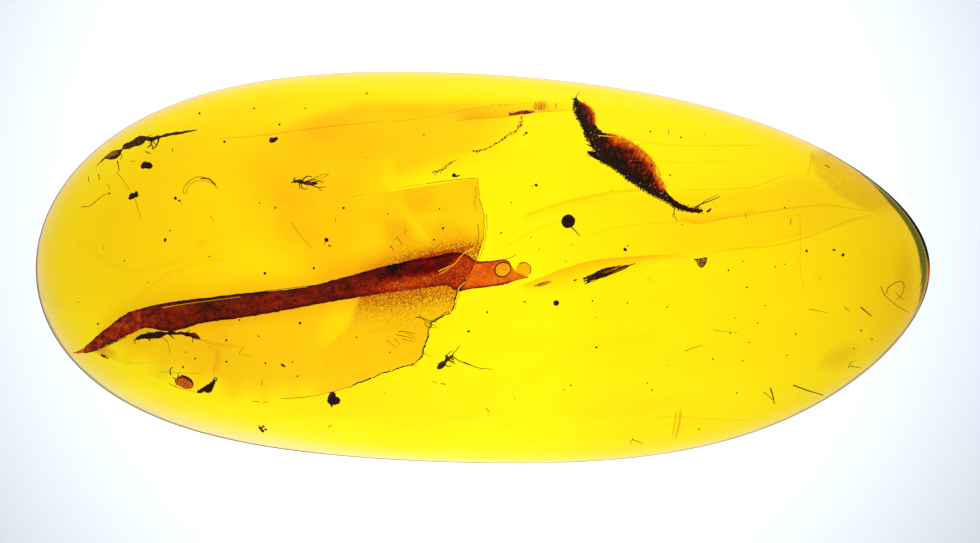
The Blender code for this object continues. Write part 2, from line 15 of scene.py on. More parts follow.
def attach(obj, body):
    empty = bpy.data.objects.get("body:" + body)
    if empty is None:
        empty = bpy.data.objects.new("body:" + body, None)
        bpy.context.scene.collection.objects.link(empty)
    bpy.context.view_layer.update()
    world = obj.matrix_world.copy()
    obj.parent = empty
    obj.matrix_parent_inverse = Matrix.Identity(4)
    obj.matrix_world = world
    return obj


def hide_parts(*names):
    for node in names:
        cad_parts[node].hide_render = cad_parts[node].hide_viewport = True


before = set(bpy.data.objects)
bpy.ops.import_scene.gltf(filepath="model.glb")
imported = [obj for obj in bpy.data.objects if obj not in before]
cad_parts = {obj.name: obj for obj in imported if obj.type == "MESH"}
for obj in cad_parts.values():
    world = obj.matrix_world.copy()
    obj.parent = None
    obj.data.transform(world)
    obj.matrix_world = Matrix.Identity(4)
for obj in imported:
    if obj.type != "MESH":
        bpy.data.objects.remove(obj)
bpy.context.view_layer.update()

MM = 0.001
# How fine a line is cut between two stations
BODY_STEPS = 12
LAYER_STEPS = 8
THREAD_STEPS = 5
MERGED_BELOW = 0.0005
LEAST_HALF_THICKNESS = 0.005

# ---- The stone's form, as in the part ----

LENGTH = 54
HALF_WIDTH = 11.75
TIP_TAPER = -0.045
SHOULDERS = 0.212
TIP_DRAW = -0.11
END_DRAW = -0.132
BEND = 1
BEND_SKEW = 0.35
HEIGHT = 6.4
RIM_HEIGHT = 0.2
RIM_ROUND = 0.14
TIP_UNDERCUT_HEIGHT = 0.35
TIP_UNDERCUT = 0.55
DOME_SHOULDER = 0.3
RIM_FULLNESS = 0.06
TIP_FULLNESS = 0.22
BACK_FULLNESS = 0.1
LEFT_FULLNESS = 0.11
FRONT_FEATHER = 0.25
REFRACTIVE_INDEX = 1.54
OUTLINE_STEPS = 72


def bump(turn, middle, spread):
    """A smooth rise from 0 to 1 round the outline at the middle angle, in degrees."""
    away = (np.degrees(turn) - middle + 180) % 360 - 180
    return np.exp(-((away / spread) ** 2))


def outline_at(x):
    """The outline's half width and its middle at x, before the outline is centred."""
    s = np.clip(x / (LENGTH / 2), -1, 1)
    swell = 1 + TIP_TAPER * s + SHOULDERS * s**2 + TIP_DRAW * s**3 + END_DRAW * s**4
    return HALF_WIDTH * swell, -BEND * s * (1 - s * s) * (1 + BEND_SKEW * s)


def outline_offset():
    """How far the raw outline's box lies off the X axis."""
    turns = np.arange(OUTLINE_STEPS) * math.tau / OUTLINE_STEPS
    half, middle = outline_at(np.cos(turns) * LENGTH / 2)
    sides = middle + half * np.sin(turns)
    return (sides.max() + sides.min()) / 2


OFFSET = outline_offset()


def stone_point(rho, turn):
    """The point at this share of the way from the middle to the outline, in this direction."""
    x = rho * np.cos(turn) * LENGTH / 2
    half, middle = outline_at(x)
    return x, middle - OFFSET + half * rho * np.sin(turn)


def stone_share(x, y):
    """The share and the direction that give the point x, y."""
    half, middle = outline_at(x)
    s = x / (LENGTH / 2)
    v = (y - middle + OFFSET) / half
    return np.hypot(s, v), np.arctan2(v, s)


def rim_height(turn):
    return RIM_HEIGHT + TIP_UNDERCUT_HEIGHT * bump(turn, 12, 20)


def rim_round(turn):
    return RIM_ROUND + TIP_UNDERCUT * bump(turn, 12, 20)


def dome(rho, turn):
    """The height of the domed top. The rim is blunt at the tip and the back, and thin at the front left."""
    fullness = RIM_FULLNESS + TIP_FULLNESS * bump(turn, -10, 28) + BACK_FULLNESS * bump(turn, 88, 15)
    fullness = fullness + LEFT_FULLNESS * bump(turn, 158, 24) - FRONT_FEATHER * bump(turn, 238, 26)
    share = 1 - (1 - DOME_SHOULDER) * rho**2 - DOME_SHOULDER * rho**4 + fullness * (rho**4 - rho**14)
    low = rim_height(turn)
    return low + (HEIGHT - low) * share


def dome_height(x, y):
    rho, turn = stone_share(x, y)
    return dome(np.minimum(rho, 1), turn)


def browning(x, y):
    """How brown the skin is, from 0 to 1: more toward both ends, and hardly at all in the thin front edge."""
    rho, turn = stone_share(x, y)
    brown = ramp(2, 30, np.hypot(x - 7, y + 5))
    brown += 0.3 * ramp(3.5, 8, x) * (1 - 0.8 * ramp(3.5, 7, y))
    brown += 0.16 * ramp(-11, -19, x) * ramp(-5, 0, y)
    brown += 0.45 * np.exp(-(((x - 24.8) / 2.2) ** 2) - ((y + 1.5) / 3.5) ** 2)
    brown -= 0.75 * ramp(0.72, 0.9, rho) * bump(turn, 228, 36)
    brown -= 0.5 * ramp(0.84, 0.96, rho) * bump(turn, 140, 40)
    return np.clip(brown / 1.5, 0, 1)


def painted_rim_shade(from_rim, turn):
    """Where grey shade is painted on the rim: a thin line, and a wider crescent at the tip."""
    from_tip = (np.degrees(turn) - 10 + 180) % 360 - 180
    line = 0.03 + 0.13 * bump(turn, 208, 38) + 0.15 * bump(turn, -30, 30)
    wide = line + 0.54 * np.exp(-((from_tip / 19) ** 4))
    fade = 0.2 + 0.8 * ramp(0.02, 0.25, from_rim)
    strength = np.where(wide > 0.2, (0.55 + 0.45 * np.exp(-((from_tip / 30) ** 4))) * fade, 0.7)
    return strength * (1 - ramp(0.94, 1.06, from_rim / wide))


def lifted(places, share):
    """Flat places with their height at a share of the dome's."""
    return np.column_stack([places, share * dome_height(*np.transpose(places))])


def under_dome(points):
    """The true places of points that are drawn where they are seen from straight above."""
    x, y, z = points.T
    step = 0.05
    slope_x = (dome_height(x + step, y) - dome_height(x - step, y)) / (2 * step)
    slope_y = (dome_height(x, y + step) - dome_height(x, y - step)) / (2 * step)
    normal = np.stack([-slope_x, -slope_y, np.ones_like(x)], axis=1)
    normal /= np.linalg.norm(normal, axis=1, keepdims=True)
    ratio = 1 / REFRACTIVE_INDEX
    cos_out = np.sqrt(1 - ratio**2 * (1 - normal[:, 2] ** 2))
    ray = normal * (ratio * normal[:, 2] - cos_out)[:, None] - np.array((0, 0, ratio))
    reach = np.maximum(dome_height(x, y) - z, 0) / -ray[:, 2]
    return np.stack([x + ray[:, 0] * reach, y + ray[:, 1] * reach, z], axis=1)


# ---- Working tools ----


def select(*pieces):
    """Selects these pieces and nothing else, with the first one active."""
    bpy.ops.object.select_all(action="DESELECT")
    for piece in pieces:
        piece.select_set(True)
        bpy.context.view_layer.objects.active = pieces[0]


def edit(piece):
    """Opens the piece in edit mode with nothing selected."""
    select(piece)
    bpy.ops.object.mode_set(mode="EDIT")
    bpy.ops.mesh.select_all(action="DESELECT")


def leave():
    bpy.ops.object.mode_set(mode="OBJECT")


def points_of(piece):
    flat = np.empty(len(piece.data.vertices) * 3)
    piece.data.vertices.foreach_get("co", flat)
    return flat.reshape(-1, 3)


def seen(piece):
    """The x and y at which the piece's points are seen from above."""
    return points_of(piece)[:, :2].T


def place_points(piece, points):
    piece.data.vertices.foreach_set("co", np.asarray(points, dtype=np.float64).ravel())
    piece.data.update()


def finish(piece, name, look, slot, *replaced):
    """Names the piece, turns its mesh to metres, gives it its material and fixes it to the stone."""
    piece.name = name
    piece.data.name = name
    piece.data.transform(Matrix.Scale(MM, 4) @ piece.matrix_world)
    piece.matrix_world = Matrix.Identity(4)
    piece.data.materials.clear()
    piece.data.materials.append(look)
    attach(piece, "root")
    if replaced:
        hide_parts(*replaced)


def smooth_line(stations, count):
    """One smooth line of count rows through the stations, which may carry sizes beside their places."""
    rows = np.array(stations, dtype=float)
    before, after = 2 * rows[0] - rows[1], 2 * rows[-1] - rows[-2]
    rows = np.vstack([before, rows, after])
    place = np.linspace(0, len(stations) - 1, count)
    first = np.minimum(place.astype(int), len(stations) - 2)
    t = (place - first)[:, None]
    a, b, c, d = (rows[first + k] for k in range(4))
    return 0.5 * (2 * b + (c - a) * t + (2 * a - 5 * b + 4 * c - d) * t**2 + (3 * b - a - 3 * c + d) * t**3)


def ramp(low, high, value):
    """A smooth rise from 0 at the low value to 1 at the high one."""
    t = np.clip((value - low) / (high - low), 0, 1)
    return t * t * (3 - 2 * t)


def paint(piece, name, values):
    """Keeps one number per point of the piece, for its material to read."""
    kept = piece.data.attributes.new(name, "FLOAT", "POINT")
    kept.data.foreach_set("value", np.broadcast_to(values, len(piece.data.vertices)).astype(np.float32))


def painted(piece, *names):
    """The numbers kept per point of the piece under these names."""
    kept = np.empty((len(names), len(piece.data.vertices)), np.float32)
    for name, values in zip(names, kept):
        piece.data.attributes[name].data.foreach_get("value", values)
    return kept


def grid(rows, columns):
    """A flat grid, with each point's share of the way along its rows and its columns."""
    select()
    bpy.ops.mesh.primitive_grid_add(x_subdivisions=rows, y_subdivisions=columns, size=2)
    piece = bpy.context.object
    flat = points_of(piece)
    return piece, (flat[:, 0] + 1) / 2, (flat[:, 1] + 1) / 2


def between(line, share):
    """The rows of a line at these shares of its length."""
    places = np.linspace(0, 1, len(line))
    return np.stack([np.interp(share, places, line[:, k]) for k in range(line.shape[1])], axis=1)


def rolled(edges, heights, rings, sides, thick, most=1):
    """A closed body, rolled up from a grid. Each row of edges holds its two side points, x, y, x, y. The
    heights are spread evenly along the rows, and the half thickness is a share of the half width, up to most.
    The body keeps how far each point lies across, from the second side to the first, and along.
    """
    edges = np.array(edges, dtype=float)
    heights = np.atleast_1d(heights)
    z = np.interp(np.linspace(0, 1, len(edges)), np.linspace(0, 1, len(heights)), heights)
    half = np.hypot(edges[:, 0] - edges[:, 2], edges[:, 1] - edges[:, 3]) / 2
    edges = np.column_stack([edges, z, np.minimum(thick * half, most)])
    body, along, around = grid(rings, sides)
    row = between(smooth_line(edges, BODY_STEPS * len(edges)), along)
    turn = around * math.tau
    closed = ((along > 1e-4) & (along < 1 - 1e-4))[:, None]
    half = (row[:, :2] - row[:, 2:4]) / 2 * closed
    place = (row[:, :2] + row[:, 2:4]) / 2 + half * np.cos(turn)[:, None]
    height = row[:, 4] + np.maximum(row[:, 5], LEAST_HALF_THICKNESS) * np.sin(turn) * closed[:, 0]
    place_points(body, np.column_stack([place, height]))
    paint(body, "across", np.cos(turn))
    paint(body, "along", along)
    edit(body)
    bpy.ops.mesh.select_all(action="SELECT")
    bpy.ops.mesh.remove_doubles(threshold=MERGED_BELOW)
    bpy.ops.mesh.normals_make_consistent(inside=False)
    leave()
    body.data.shade_smooth()
    return body


def directions(line):
    """The unit step along a line at each of its rows."""
    step = np.gradient(line, axis=0)
    return step / np.linalg.norm(step, axis=1, keepdims=True)


def leftward(line):
    """The unit step to the left of a flat line at each of its rows."""
    step = directions(line)
    return np.stack([-step[:, 1], step[:, 0]], axis=1)


def spindle(stations, heights, rings, sides, thick):
    """A closed body along a middle line: each station holds x, y and half width."""
    line = np.array(stations, dtype=float)
    middle, out = line[:, :2], leftward(line[:, :2]) * line[:, 2:]
    return rolled(np.hstack([middle + out, middle - out]), heights, rings, sides, thick)


def roughen(piece, grain, amount, depth=2):
    """Pushes the surface in and out by a soft noise with lumps of the grain's size."""
    texture = bpy.data.textures.new("grain", "CLOUDS")
    texture.noise_scale = grain
    texture.noise_depth = depth
    select(piece)
    rough = piece.modifiers.new("rough", "DISPLACE")
    rough.texture = texture
    rough.strength = amount
    bpy.ops.object.modifier_apply(modifier=rough.name)


def pellet(centre, size, amount, seed, turn=0, cuts=3):
    """A ball of this size, made uneven. Each seed reads the noise from another place."""
    select()
    bpy.ops.mesh.primitive_ico_sphere_add(subdivisions=cuts, radius=0.5)
    ball = bpy.context.object
    points = points_of(ball) * 2
    push = [noise.noise(Vector(point) * 1.6 + Vector((7.3 * seed, 3.1, seed))) for point in points]
    fine = [noise.noise(Vector(point) * 4 + Vector((2.3 * seed, seed, 5))) for point in points]
    points = points / 2 * (1 + amount * (np.array(push) + 0.4 * np.array(fine)))[:, None] * np.array(size)
    cos, sin = math.cos(turn), math.sin(turn)
    x, y = points[:, 0] * cos - points[:, 1] * sin, points[:, 0] * sin + points[:, 1] * cos
    place_points(ball, np.column_stack([x, y, points[:, 2]]) + np.array(centre))
    ball.data.shade_smooth()
    return ball


def strands(runs, sides=5):
    """Tapered threads in one mesh. Each run is its points, then its radius at the root and at the tip."""
    verts, faces = [], []
    for points, root, tip in runs:
        line = np.array(points, dtype=float)
        if len(line) > 2:
            line = smooth_line(line, THREAD_STEPS * (len(line) - 1) + 1)
        step = directions(line)
        side = np.cross((0, 0, 1), step)
        side /= np.maximum(np.linalg.norm(side, axis=1, keepdims=True), 1e-6)
        up = np.cross(step, side)
        base, count = len(verts), len(line)
        for k, radius in enumerate(np.linspace(root, tip, count)):
            for turn in range(sides):
                angle = math.tau * turn / sides
                verts.append(tuple(line[k] + radius * (side[k] * math.cos(angle) + up[k] * math.sin(angle))))
        for low in range(base, len(verts) - sides, sides):
            for i in range(sides):
                j = (i + 1) % sides
                faces.append((low + i, low + j, low + sides + j, low + sides + i))
        faces.append([base + i for i in reversed(range(sides))])
        faces.append([len(verts) - sides + i for i in range(sides)])
    mesh = bpy.data.meshes.new("piece")
    mesh.from_pydata(verts, [], faces)
    mesh.shade_smooth()
    piece = bpy.data.objects.new("piece", mesh)
    bpy.context.scene.collection.objects.link(piece)
    return piece


def threads(rows, taper, sides=4, share=None):
    """Fine threads. Each row holds the radius at the root, the height and then the places x, y, x, y. With a
    share, the rows hold no height, and the threads lie at that share of the dome's.
    """
    runs = []
    for radius, *rest in rows:
        places = np.reshape(rest if share else rest[1:], (-1, 2))
        line = lifted(places, share) if share else np.column_stack([places, np.full(len(places), rest[0])])
        runs.append((line, radius, taper * radius))
    return strands(runs, sides)


def settle(*pieces):
    """Joins pieces that are drawn as they are seen, and moves them to their true places under the dome."""
    select(*pieces)
    if len(pieces) > 1:
        bpy.ops.object.join()
    place_points(pieces[0], under_dome(points_of(pieces[0])))
    return pieces[0]


def layer(left, right, rows, columns, share):
    """A thin open layer in the amber, between a left and a right line, at a share of the dome's height. With
    it come how far out each point lies, from the left line to the right one, and how far down.
    """
    piece, down, out = grid(rows, columns)
    start = between(smooth_line(left, LAYER_STEPS * len(left)), down)
    end = between(np.array(right, dtype=float), down)
    place = start * (1 - out)[:, None] + end * out[:, None]
    place_points(piece, lifted(place, share))
    piece.data.shade_smooth()
    return piece, out, down


def band(half_width, share, stain, *places):
    """A narrow layer along a flow line, which fades at its sides and its ends."""
    points = np.reshape(places, (-1, 2))
    line = smooth_line(points, LAYER_STEPS * len(points))
    side = leftward(line) * half_width
    piece, out, down = layer((line + side)[::4], (line - side)[::4], 6 * len(points), 8, share)
    fade = (1 - (2 * out - 1) ** 2) * ramp(0, 0.12, down) * ramp(0, 0.12, 1 - down)
    paint(piece, "stain", stain * fade)
    return piece


def ledge(points, widths, strengths, share, behind=0):
    """A flow with a sharp upper edge along a line, which thins out below it, or above at a negative width."""
    line = np.array(points, dtype=float)
    side = -leftward(line)
    wide = np.array(widths)[:, None]
    piece, out, down = layer(line - side * behind * np.sign(wide), line + side * wide, 90, 14, share)
    strength = np.interp(down, np.linspace(0, 1, len(strengths)), strengths)
    fade = (1 - out) ** 1.6 * ramp(0, 0.06, down) * ramp(0, 0.06, 1 - down)
    paint(piece, "stain", strength * fade)
    return piece


def patch(x, y, wide, high, share, stain, turn=0, grain=0):
    """A small oval stain that thins out all round."""
    piece, along, out = grid(18, 18)
    a, b = 2 * along - 1, 2 * out - 1
    px = x + wide * a * math.cos(turn) - high * b * math.sin(turn)
    py = y + wide * a * math.sin(turn) + high * b * math.cos(turn)
    place_points(piece, lifted(np.column_stack([px, py]), share))
    fade = np.maximum(1 - a**2 - b**2, 0) ** 1.3
    paint(piece, "stain", stain * fade)
    paint(piece, "grain", grain * fade)
    return piece


def spots(x, y, *rows):
    """Soft-edged spots. Each row holds a strength, a middle, a half width and height, and a turn."""
    total = np.zeros_like(x)
    for strength, middle_x, middle_y, wide, high, turn in rows:
        a = (x - middle_x) * math.cos(turn) + (y - middle_y) * math.sin(turn)
        b = (y - middle_y) * math.cos(turn) - (x - middle_x) * math.sin(turn)
        total += strength * np.exp(-(((a / wide) ** 2 + (b / high) ** 2) ** 2))
    return total


# ---- Materials ----


def channel(value):
    return value / 12.92 if value <= 0.04045 else ((value + 0.055) / 1.055) ** 2.4


def colour(code):
    """The linear colour of an sRGB hex code."""
    parts = [int(code[i : i + 2], 16) / 255 for i in (1, 3, 5)]
    return (*[channel(part) for part in parts], 1)


def new_material(name):
    """A material with no nodes yet."""
    made = bpy.data.materials.new(name)
    made.use_nodes = True
    made.node_tree.nodes.clear()
    return made, made.node_tree


def node(tree, kind, links=(), **settings):
    """Adds a node. A link starts at a socket, or at a node's first output in use. A setting is a property of
    the new node or, with the prefix in_, the plain value of a socket by its position or name.
    """
    made = tree.nodes.new("ShaderNode" + kind)
    for key, value in settings.items():
        if key.startswith("in_"):
            socket = key[3:]
            made.inputs[int(socket) if socket.isdigit() else socket.replace("_", " ")].default_value = value
        else:
            setattr(made, key, value)
    for source, socket in links:
        if isinstance(source, bpy.types.Node):
            source = next(output for output in source.outputs if output.enabled)
        tree.links.new(source, made.inputs[socket])
    return made


# What is left of white light that has crossed one millimetre
AMBER_ONE_MM = "#FFFD2A"
# The skin's tint is clearer over the heart of the stone, and browner at its two ends
SKIN_MIDDLE = "#FFEBF6"
SKIN_ENDS = "#F1C0E1"
# The grey of the painted shade on the rim and in the tip's crescent
RIM_SHADE = "#252B44"
WHITE = (1, 1, 1, 1)
BLOOM = (0.97, 0.92, 0.9, 1)
LAYER_TINT = (0.88, 0.62, 0.38, 1)
GRAIN_TINT = (0.42, 0.14, 0.06, 1)


def amber():
    """Clear polished amber: a hard resin that takes a glassy polish and swallows blue within a millimetre."""
    made, tree = new_material("polished yellow amber")
    taken = [-math.log(max(share, 1e-3)) / MM for share in colour(AMBER_ONE_MM)[:3]]
    place = node(tree, "TexCoord").outputs["Object"]
    brown = node(tree, "Attribute", attribute_name="brown").outputs["Fac"]
    rim_shade = node(tree, "Attribute", attribute_name="rim_shade").outputs["Fac"]
    skin = node(tree, "Mix", [(brown, 0)], data_type="RGBA", in_6=colour(SKIN_MIDDLE), in_7=colour(SKIN_ENDS))
    # Faint streaks along the stone and a fine bloom, as resin that ran and dried has
    along = {"in_Scale": (6, 1, 1), "in_Rotation": (0, 0, 0.12)}
    long = node(tree, "Mapping", [(place, 0)], vector_type="TEXTURE", **along)
    streaks = node(tree, "TexNoise", [(long, 0)], in_Scale=1 / (1.6 * MM), in_Detail=3)
    bloom = node(tree, "TexNoise", [(place, 0)], in_Scale=1 / (0.2 * MM), in_Detail=2)
    both = node(tree, "Math", [(streaks, 0), (bloom, 1)], operation="ADD")
    cloud = node(tree, "MapRange", [(both, 0)], in_1=0.7, in_2=1.3)
    clouded = node(tree, "Mix", [(cloud, 0)], data_type="RGBA", in_6=BLOOM, in_7=WHITE)
    streaked = node(tree, "Mix", [(skin, 6), (clouded, 7)], data_type="RGBA", blend_type="MULTIPLY", in_0=1)
    # Painted shade: the base colour turns grey where the rim line and the tip's crescent are painted
    rim_shaded = node(tree, "Mix", [(rim_shade, 0), (streaked, 6)], data_type="RGBA", in_7=colour(RIM_SHADE))
    polish = {"in_Roughness": 0, "in_IOR": REFRACTIVE_INDEX, "in_Transmission_Weight": 1}
    surface = node(tree, "BsdfPrincipled", [(rim_shaded, "Base Color")], **polish)
    tint = (*[1 - share / max(taken) for share in taken], 1)
    inside = node(tree, "VolumeAbsorption", in_Color=tint, in_Density=max(taken))
    node(tree, "OutputMaterial", [(surface, "Surface"), (inside, "Volume")])
    return made


def amber_layer():
    """A flow layer or an inner crack: it only stains the light that crosses it, more in some patches."""
    made, tree = new_material("orange flow layer in amber")
    place = node(tree, "TexCoord").outputs["Object"]
    stain = node(tree, "Attribute", attribute_name="stain").outputs["Fac"]
    grain = node(tree, "Attribute", attribute_name="grain").outputs["Fac"]
    patches = node(tree, "TexNoise", [(place, 0)], in_Scale=1 / (2.5 * MM), in_Detail=4)
    uneven = node(tree, "MapRange", [(patches, 0)], in_1=0.3, in_2=0.7, in_3=0.8, in_4=1.15)
    share = node(tree, "Math", [(stain, 0), (uneven, 1)], operation="MULTIPLY", use_clamp=True)
    tint = node(tree, "Mix", [(share, 0)], data_type="RGBA", in_6=WHITE, in_7=LAYER_TINT)
    # Sugary grains: fine brown specks with sharp yellow sparkles between them
    sugar = node(tree, "TexNoise", [(place, 0)], in_Scale=1 / (0.075 * MM), in_Detail=2)
    speck = node(tree, "MapRange", [(sugar, 0)], in_1=0.42, in_2=0.62, in_3=1, in_4=0)
    dusted = node(tree, "Math", [(speck, 0), (grain, 1)], operation="MULTIPLY", use_clamp=True)
    grainy = node(tree, "Mix", [(dusted, 0), (tint, 6)], data_type="RGBA", in_7=GRAIN_TINT)
    clear = node(tree, "BsdfTransparent", [(grainy, 0)])
    node(tree, "OutputMaterial", [(clear, "Surface")])
    return made


def tissue(name, deep, pale, glow, grain, stretch=1, turn=0, cover=0.9, roughness=0.6, broken=0.2):
    """Plant or animal skin: mottled from deep to pale, and see-through where the point is painted thin. glow
    lists the colours of the light that crosses one face, from dense to thinnest.
    """
    made, tree = new_material(name)
    place = node(tree, "TexCoord").outputs["Object"]
    fibres = {"in_Rotation": (0, 0, turn), "in_Scale": (stretch, 1, 1)}
    turned = node(tree, "Mapping", [(place, 0)], vector_type="TEXTURE", **fibres)
    patches = node(tree, "TexNoise", [(turned, 0)], in_Scale=1 / (4 * grain * MM), in_Detail=2)
    specks = node(tree, "TexNoise", [(turned, 0)], in_Scale=1 / (grain * MM), in_Detail=2)
    both = node(tree, "Math", [(patches, 0), (specks, 1)], operation="ADD")
    mottle = node(tree, "MapRange", [(both, 0)], in_1=0.8, in_2=1.2)
    skin = node(tree, "Mix", [(mottle, 0)], data_type="RGBA", in_6=colour(deep), in_7=colour(pale))
    surface = node(tree, "BsdfPrincipled", [(skin, 0)], in_Roughness=roughness, in_Specular_IOR_Level=0.2)
    thin = node(tree, "Attribute", attribute_name="thin").outputs["Fac"]
    # The mottling also breaks up how far the light comes through
    uneven = node(tree, "MapRange", [(both, 0)], in_1=0.75, in_2=1.25, in_3=-broken, in_4=broken)
    reach = node(tree, "Math", [(thin, 0), (uneven, 1)], operation="ADD")
    through = node(tree, "ValToRGB", [(reach, 0)])
    stops = through.color_ramp.elements
    stops[0].color, stops[1].color = colour(glow[0]), colour(glow[4])
    for at, code in zip((0.35, 0.5, 0.75), glow[1:4]):
        stops.new(at).color = colour(code)
    share = node(tree, "MapRange", [(reach, 0)], in_1=0.05, in_2=0.35, in_4=cover)
    clear = node(tree, "BsdfTransparent", [(through, 0)])
    mixed = node(tree, "MixShader", [(share, 0), (surface, 1), (clear, 2)])
    node(tree, "OutputMaterial", [(mixed, "Surface")])
    return made


def torn_edge_glow():
    """Pale torn tissue with a painted glow, which stands in for the table's light along its raised edge."""
    made, tree = new_material("pale torn tissue with painted glow")
    # A painted glow: the tissue gives out light though it is no lamp
    lit = {"in_Emission_Color": colour("#FFE0C8"), "in_Emission_Strength": 1}
    edge = node(tree, "BsdfPrincipled", in_Base_Color=colour("#FFE8C0"), in_Roughness=0.6, **lit)
    node(tree, "OutputMaterial", [(edge, "Surface")])
    return made


# ---- The stone ----

SIDE_CUTS = 95
ROUND_SHARE = math.radians(14)


def polished_stone():
    """One closed stone. A cube is cut fine and rounded to a ball, so that no pole shows, and its points are
    moved to the stone's surface: the upper half to the dome, a thin band to the rim, the rest to the base.
    """
    select()
    bpy.ops.mesh.primitive_cube_add(size=2)
    stone = bpy.context.object
    edit(stone)
    bpy.ops.mesh.select_all(action="SELECT")
    bpy.ops.mesh.subdivide(number_cuts=SIDE_CUTS)
    bpy.ops.transform.tosphere(value=1)
    leave()
    ball = points_of(stone)
    ball /= np.linalg.norm(ball, axis=1, keepdims=True)
    rise = np.arcsin(np.clip(ball[:, 2], -1, 1))
    turn = np.arctan2(ball[:, 1], ball[:, 0])
    rho = np.cos(rise)
    x, y = stone_point(rho, turn)
    z = dome(rho, turn)
    rim_x, rim_y = stone_point(1, turn)
    from_rim = np.hypot(rim_x - x, rim_y - y)
    quarter = np.clip(-rise / ROUND_SHARE, 0, 1) * math.pi / 2
    inset = rim_round(turn) * (1 - np.cos(quarter))
    low_z = rim_height(turn) * (1 - np.sin(quarter))
    shrink = 1 - inset / np.hypot(rim_x, rim_y)
    base = np.cos(np.clip((-rise - ROUND_SHARE) / (math.pi / 2 - ROUND_SHARE), 0, 1) * math.pi / 2)
    below = rise < 0
    x = np.where(below, rim_x * shrink * base, x)
    y = np.where(below, rim_y * shrink * base, y)
    z = np.where(below, low_z, z)
    place_points(stone, np.stack([x, y, z], axis=1))
    paint(stone, "brown", browning(x, y))
    # Painted shade along the rim and in the tip's crescent, fainter on the faces below the rim
    rim_shade_below = 0.25 * painted_rim_shade(0, turn) * (1 - np.minimum(quarter, 1))
    paint(stone, "rim_shade", np.where(below, rim_shade_below, painted_rim_shade(from_rim, turn)))
    stone.data.shade_smooth()
    return stone


# ---- Flow layers and cracks in the amber ----

STRIP_LINE = (
    (-24.7, -5.1), (-23.7, -4.66), (-20, -2.9), (-15.9, -2.5), (-10.3, -1.7), (-5.4, -0.66), (-1, -0.4),
)


def above(x, y, line):
    """How far a point lies above a line that runs from left to right."""
    return y - np.interp(x, *np.transpose(line))


def noise_at(x, y, scale, seed=0):
    """A soft noise from -1 to 1 at these places, read scale times per millimetre."""
    return np.array([noise.noise(Vector((px * scale, py * scale, seed))) for px, py in zip(x, y)])


def upper_flow():
    """The orange flow in the upper left. It thins out to the left and below, and toward the back."""
    piece, _, _ = layer([(-16.2, 10.4), (-16.2, -1.9)], [(3.4, 10.4), (3.4, -1.9)], 90, 110, 0.66)
    x, y = seen(piece)
    rows = (-0.1, 1.1, 2.3, 3.5, 4.7, 5.9, 7.1, 8.3, 9.4)
    left = np.interp(y, rows, (-11, -12.1, -13.3, -13.6, -14.1, -14.2, -13.8, -12.6, -9.8))
    back = np.interp(x, (-12.2, -9.8, -7.4), (8.4, 9.4, 9.9))
    right = np.interp(y, (5.3, 5.9, 6.5, 7.1, 8.3, 9.9), (-5, -2.9, -1.1, 0.7, 1.7, 2.6))
    top_of_crack = np.interp(x, (-7.9, -6.1, -4.6, -3.1, -1.6, -0.3), (4.26, 4.55, 4.88, 5.08, 5.28, 5.38))
    beside = np.where(y > top_of_crack, 1 - ramp(-3, 1.8, x - right), 1 - ramp(-8.6, -5.9, x))
    stain = 0.74 + spots(
        x, y, (0.14, -9.3, 8.3, 2.6, 1.1, 0), (0.12, -11.2, 3.2, 1.5, 1.6, 0),
        (-0.28, -5.7, 5.7, 0.5, 0.9, 0), (0.1, -9, 1, 3, 1.5, 0),
    )
    paint(piece, "stain", stain * ramp(-2.6, 3, x - left) * ramp(0.4, -0.4, y - back) * beside)
    return piece


# How high things lie, as a share of the dome's height
CRACK_SHARE = 0.56
CRUMB_SHARE = 0.55
DASH_SHARE = 0.5
STRIP_RIM_SHARE = 0.43
HAIR_SHARE = 0.45
TEAR_SHARE = 0.59
CRACK_EDGE = (
    (-0.31, 5.38), (-0.26, 4.8), (-0.17, 4.08), (0.08, 3.13), (0.08, 2.45), (0.02, 1.72), (-0.17, 1.02),
    (-0.41, 0.42), (-0.71, -0.18), (-1.11, -0.88), (-1.55, -1.58), (-1.71, -2.08), (-1.74, -2.45),
    (-1.98, -2.73), (-2.61, -3.05), (-3.13, -3.35), (-3.19, -3.68), (-3.31, -4.2), (-3.46, -4.58),
    (-3.61, -5.19), (-3.79, -5.53), (-4.33, -5.89), (-5.32, -6.13), (-6.33, -6.49), (-7.32, -6.89),
    (-8.02, -7.22), (-8.92, -7.46), (-10.55, -7.82), (-12.25, -8), (-14.06, -8.06), (-16.17, -7.7),
    (-18.59, -7.04), (-20.7, -6.25), (-22.39, -5.53), (-24.02, -5.04),
)


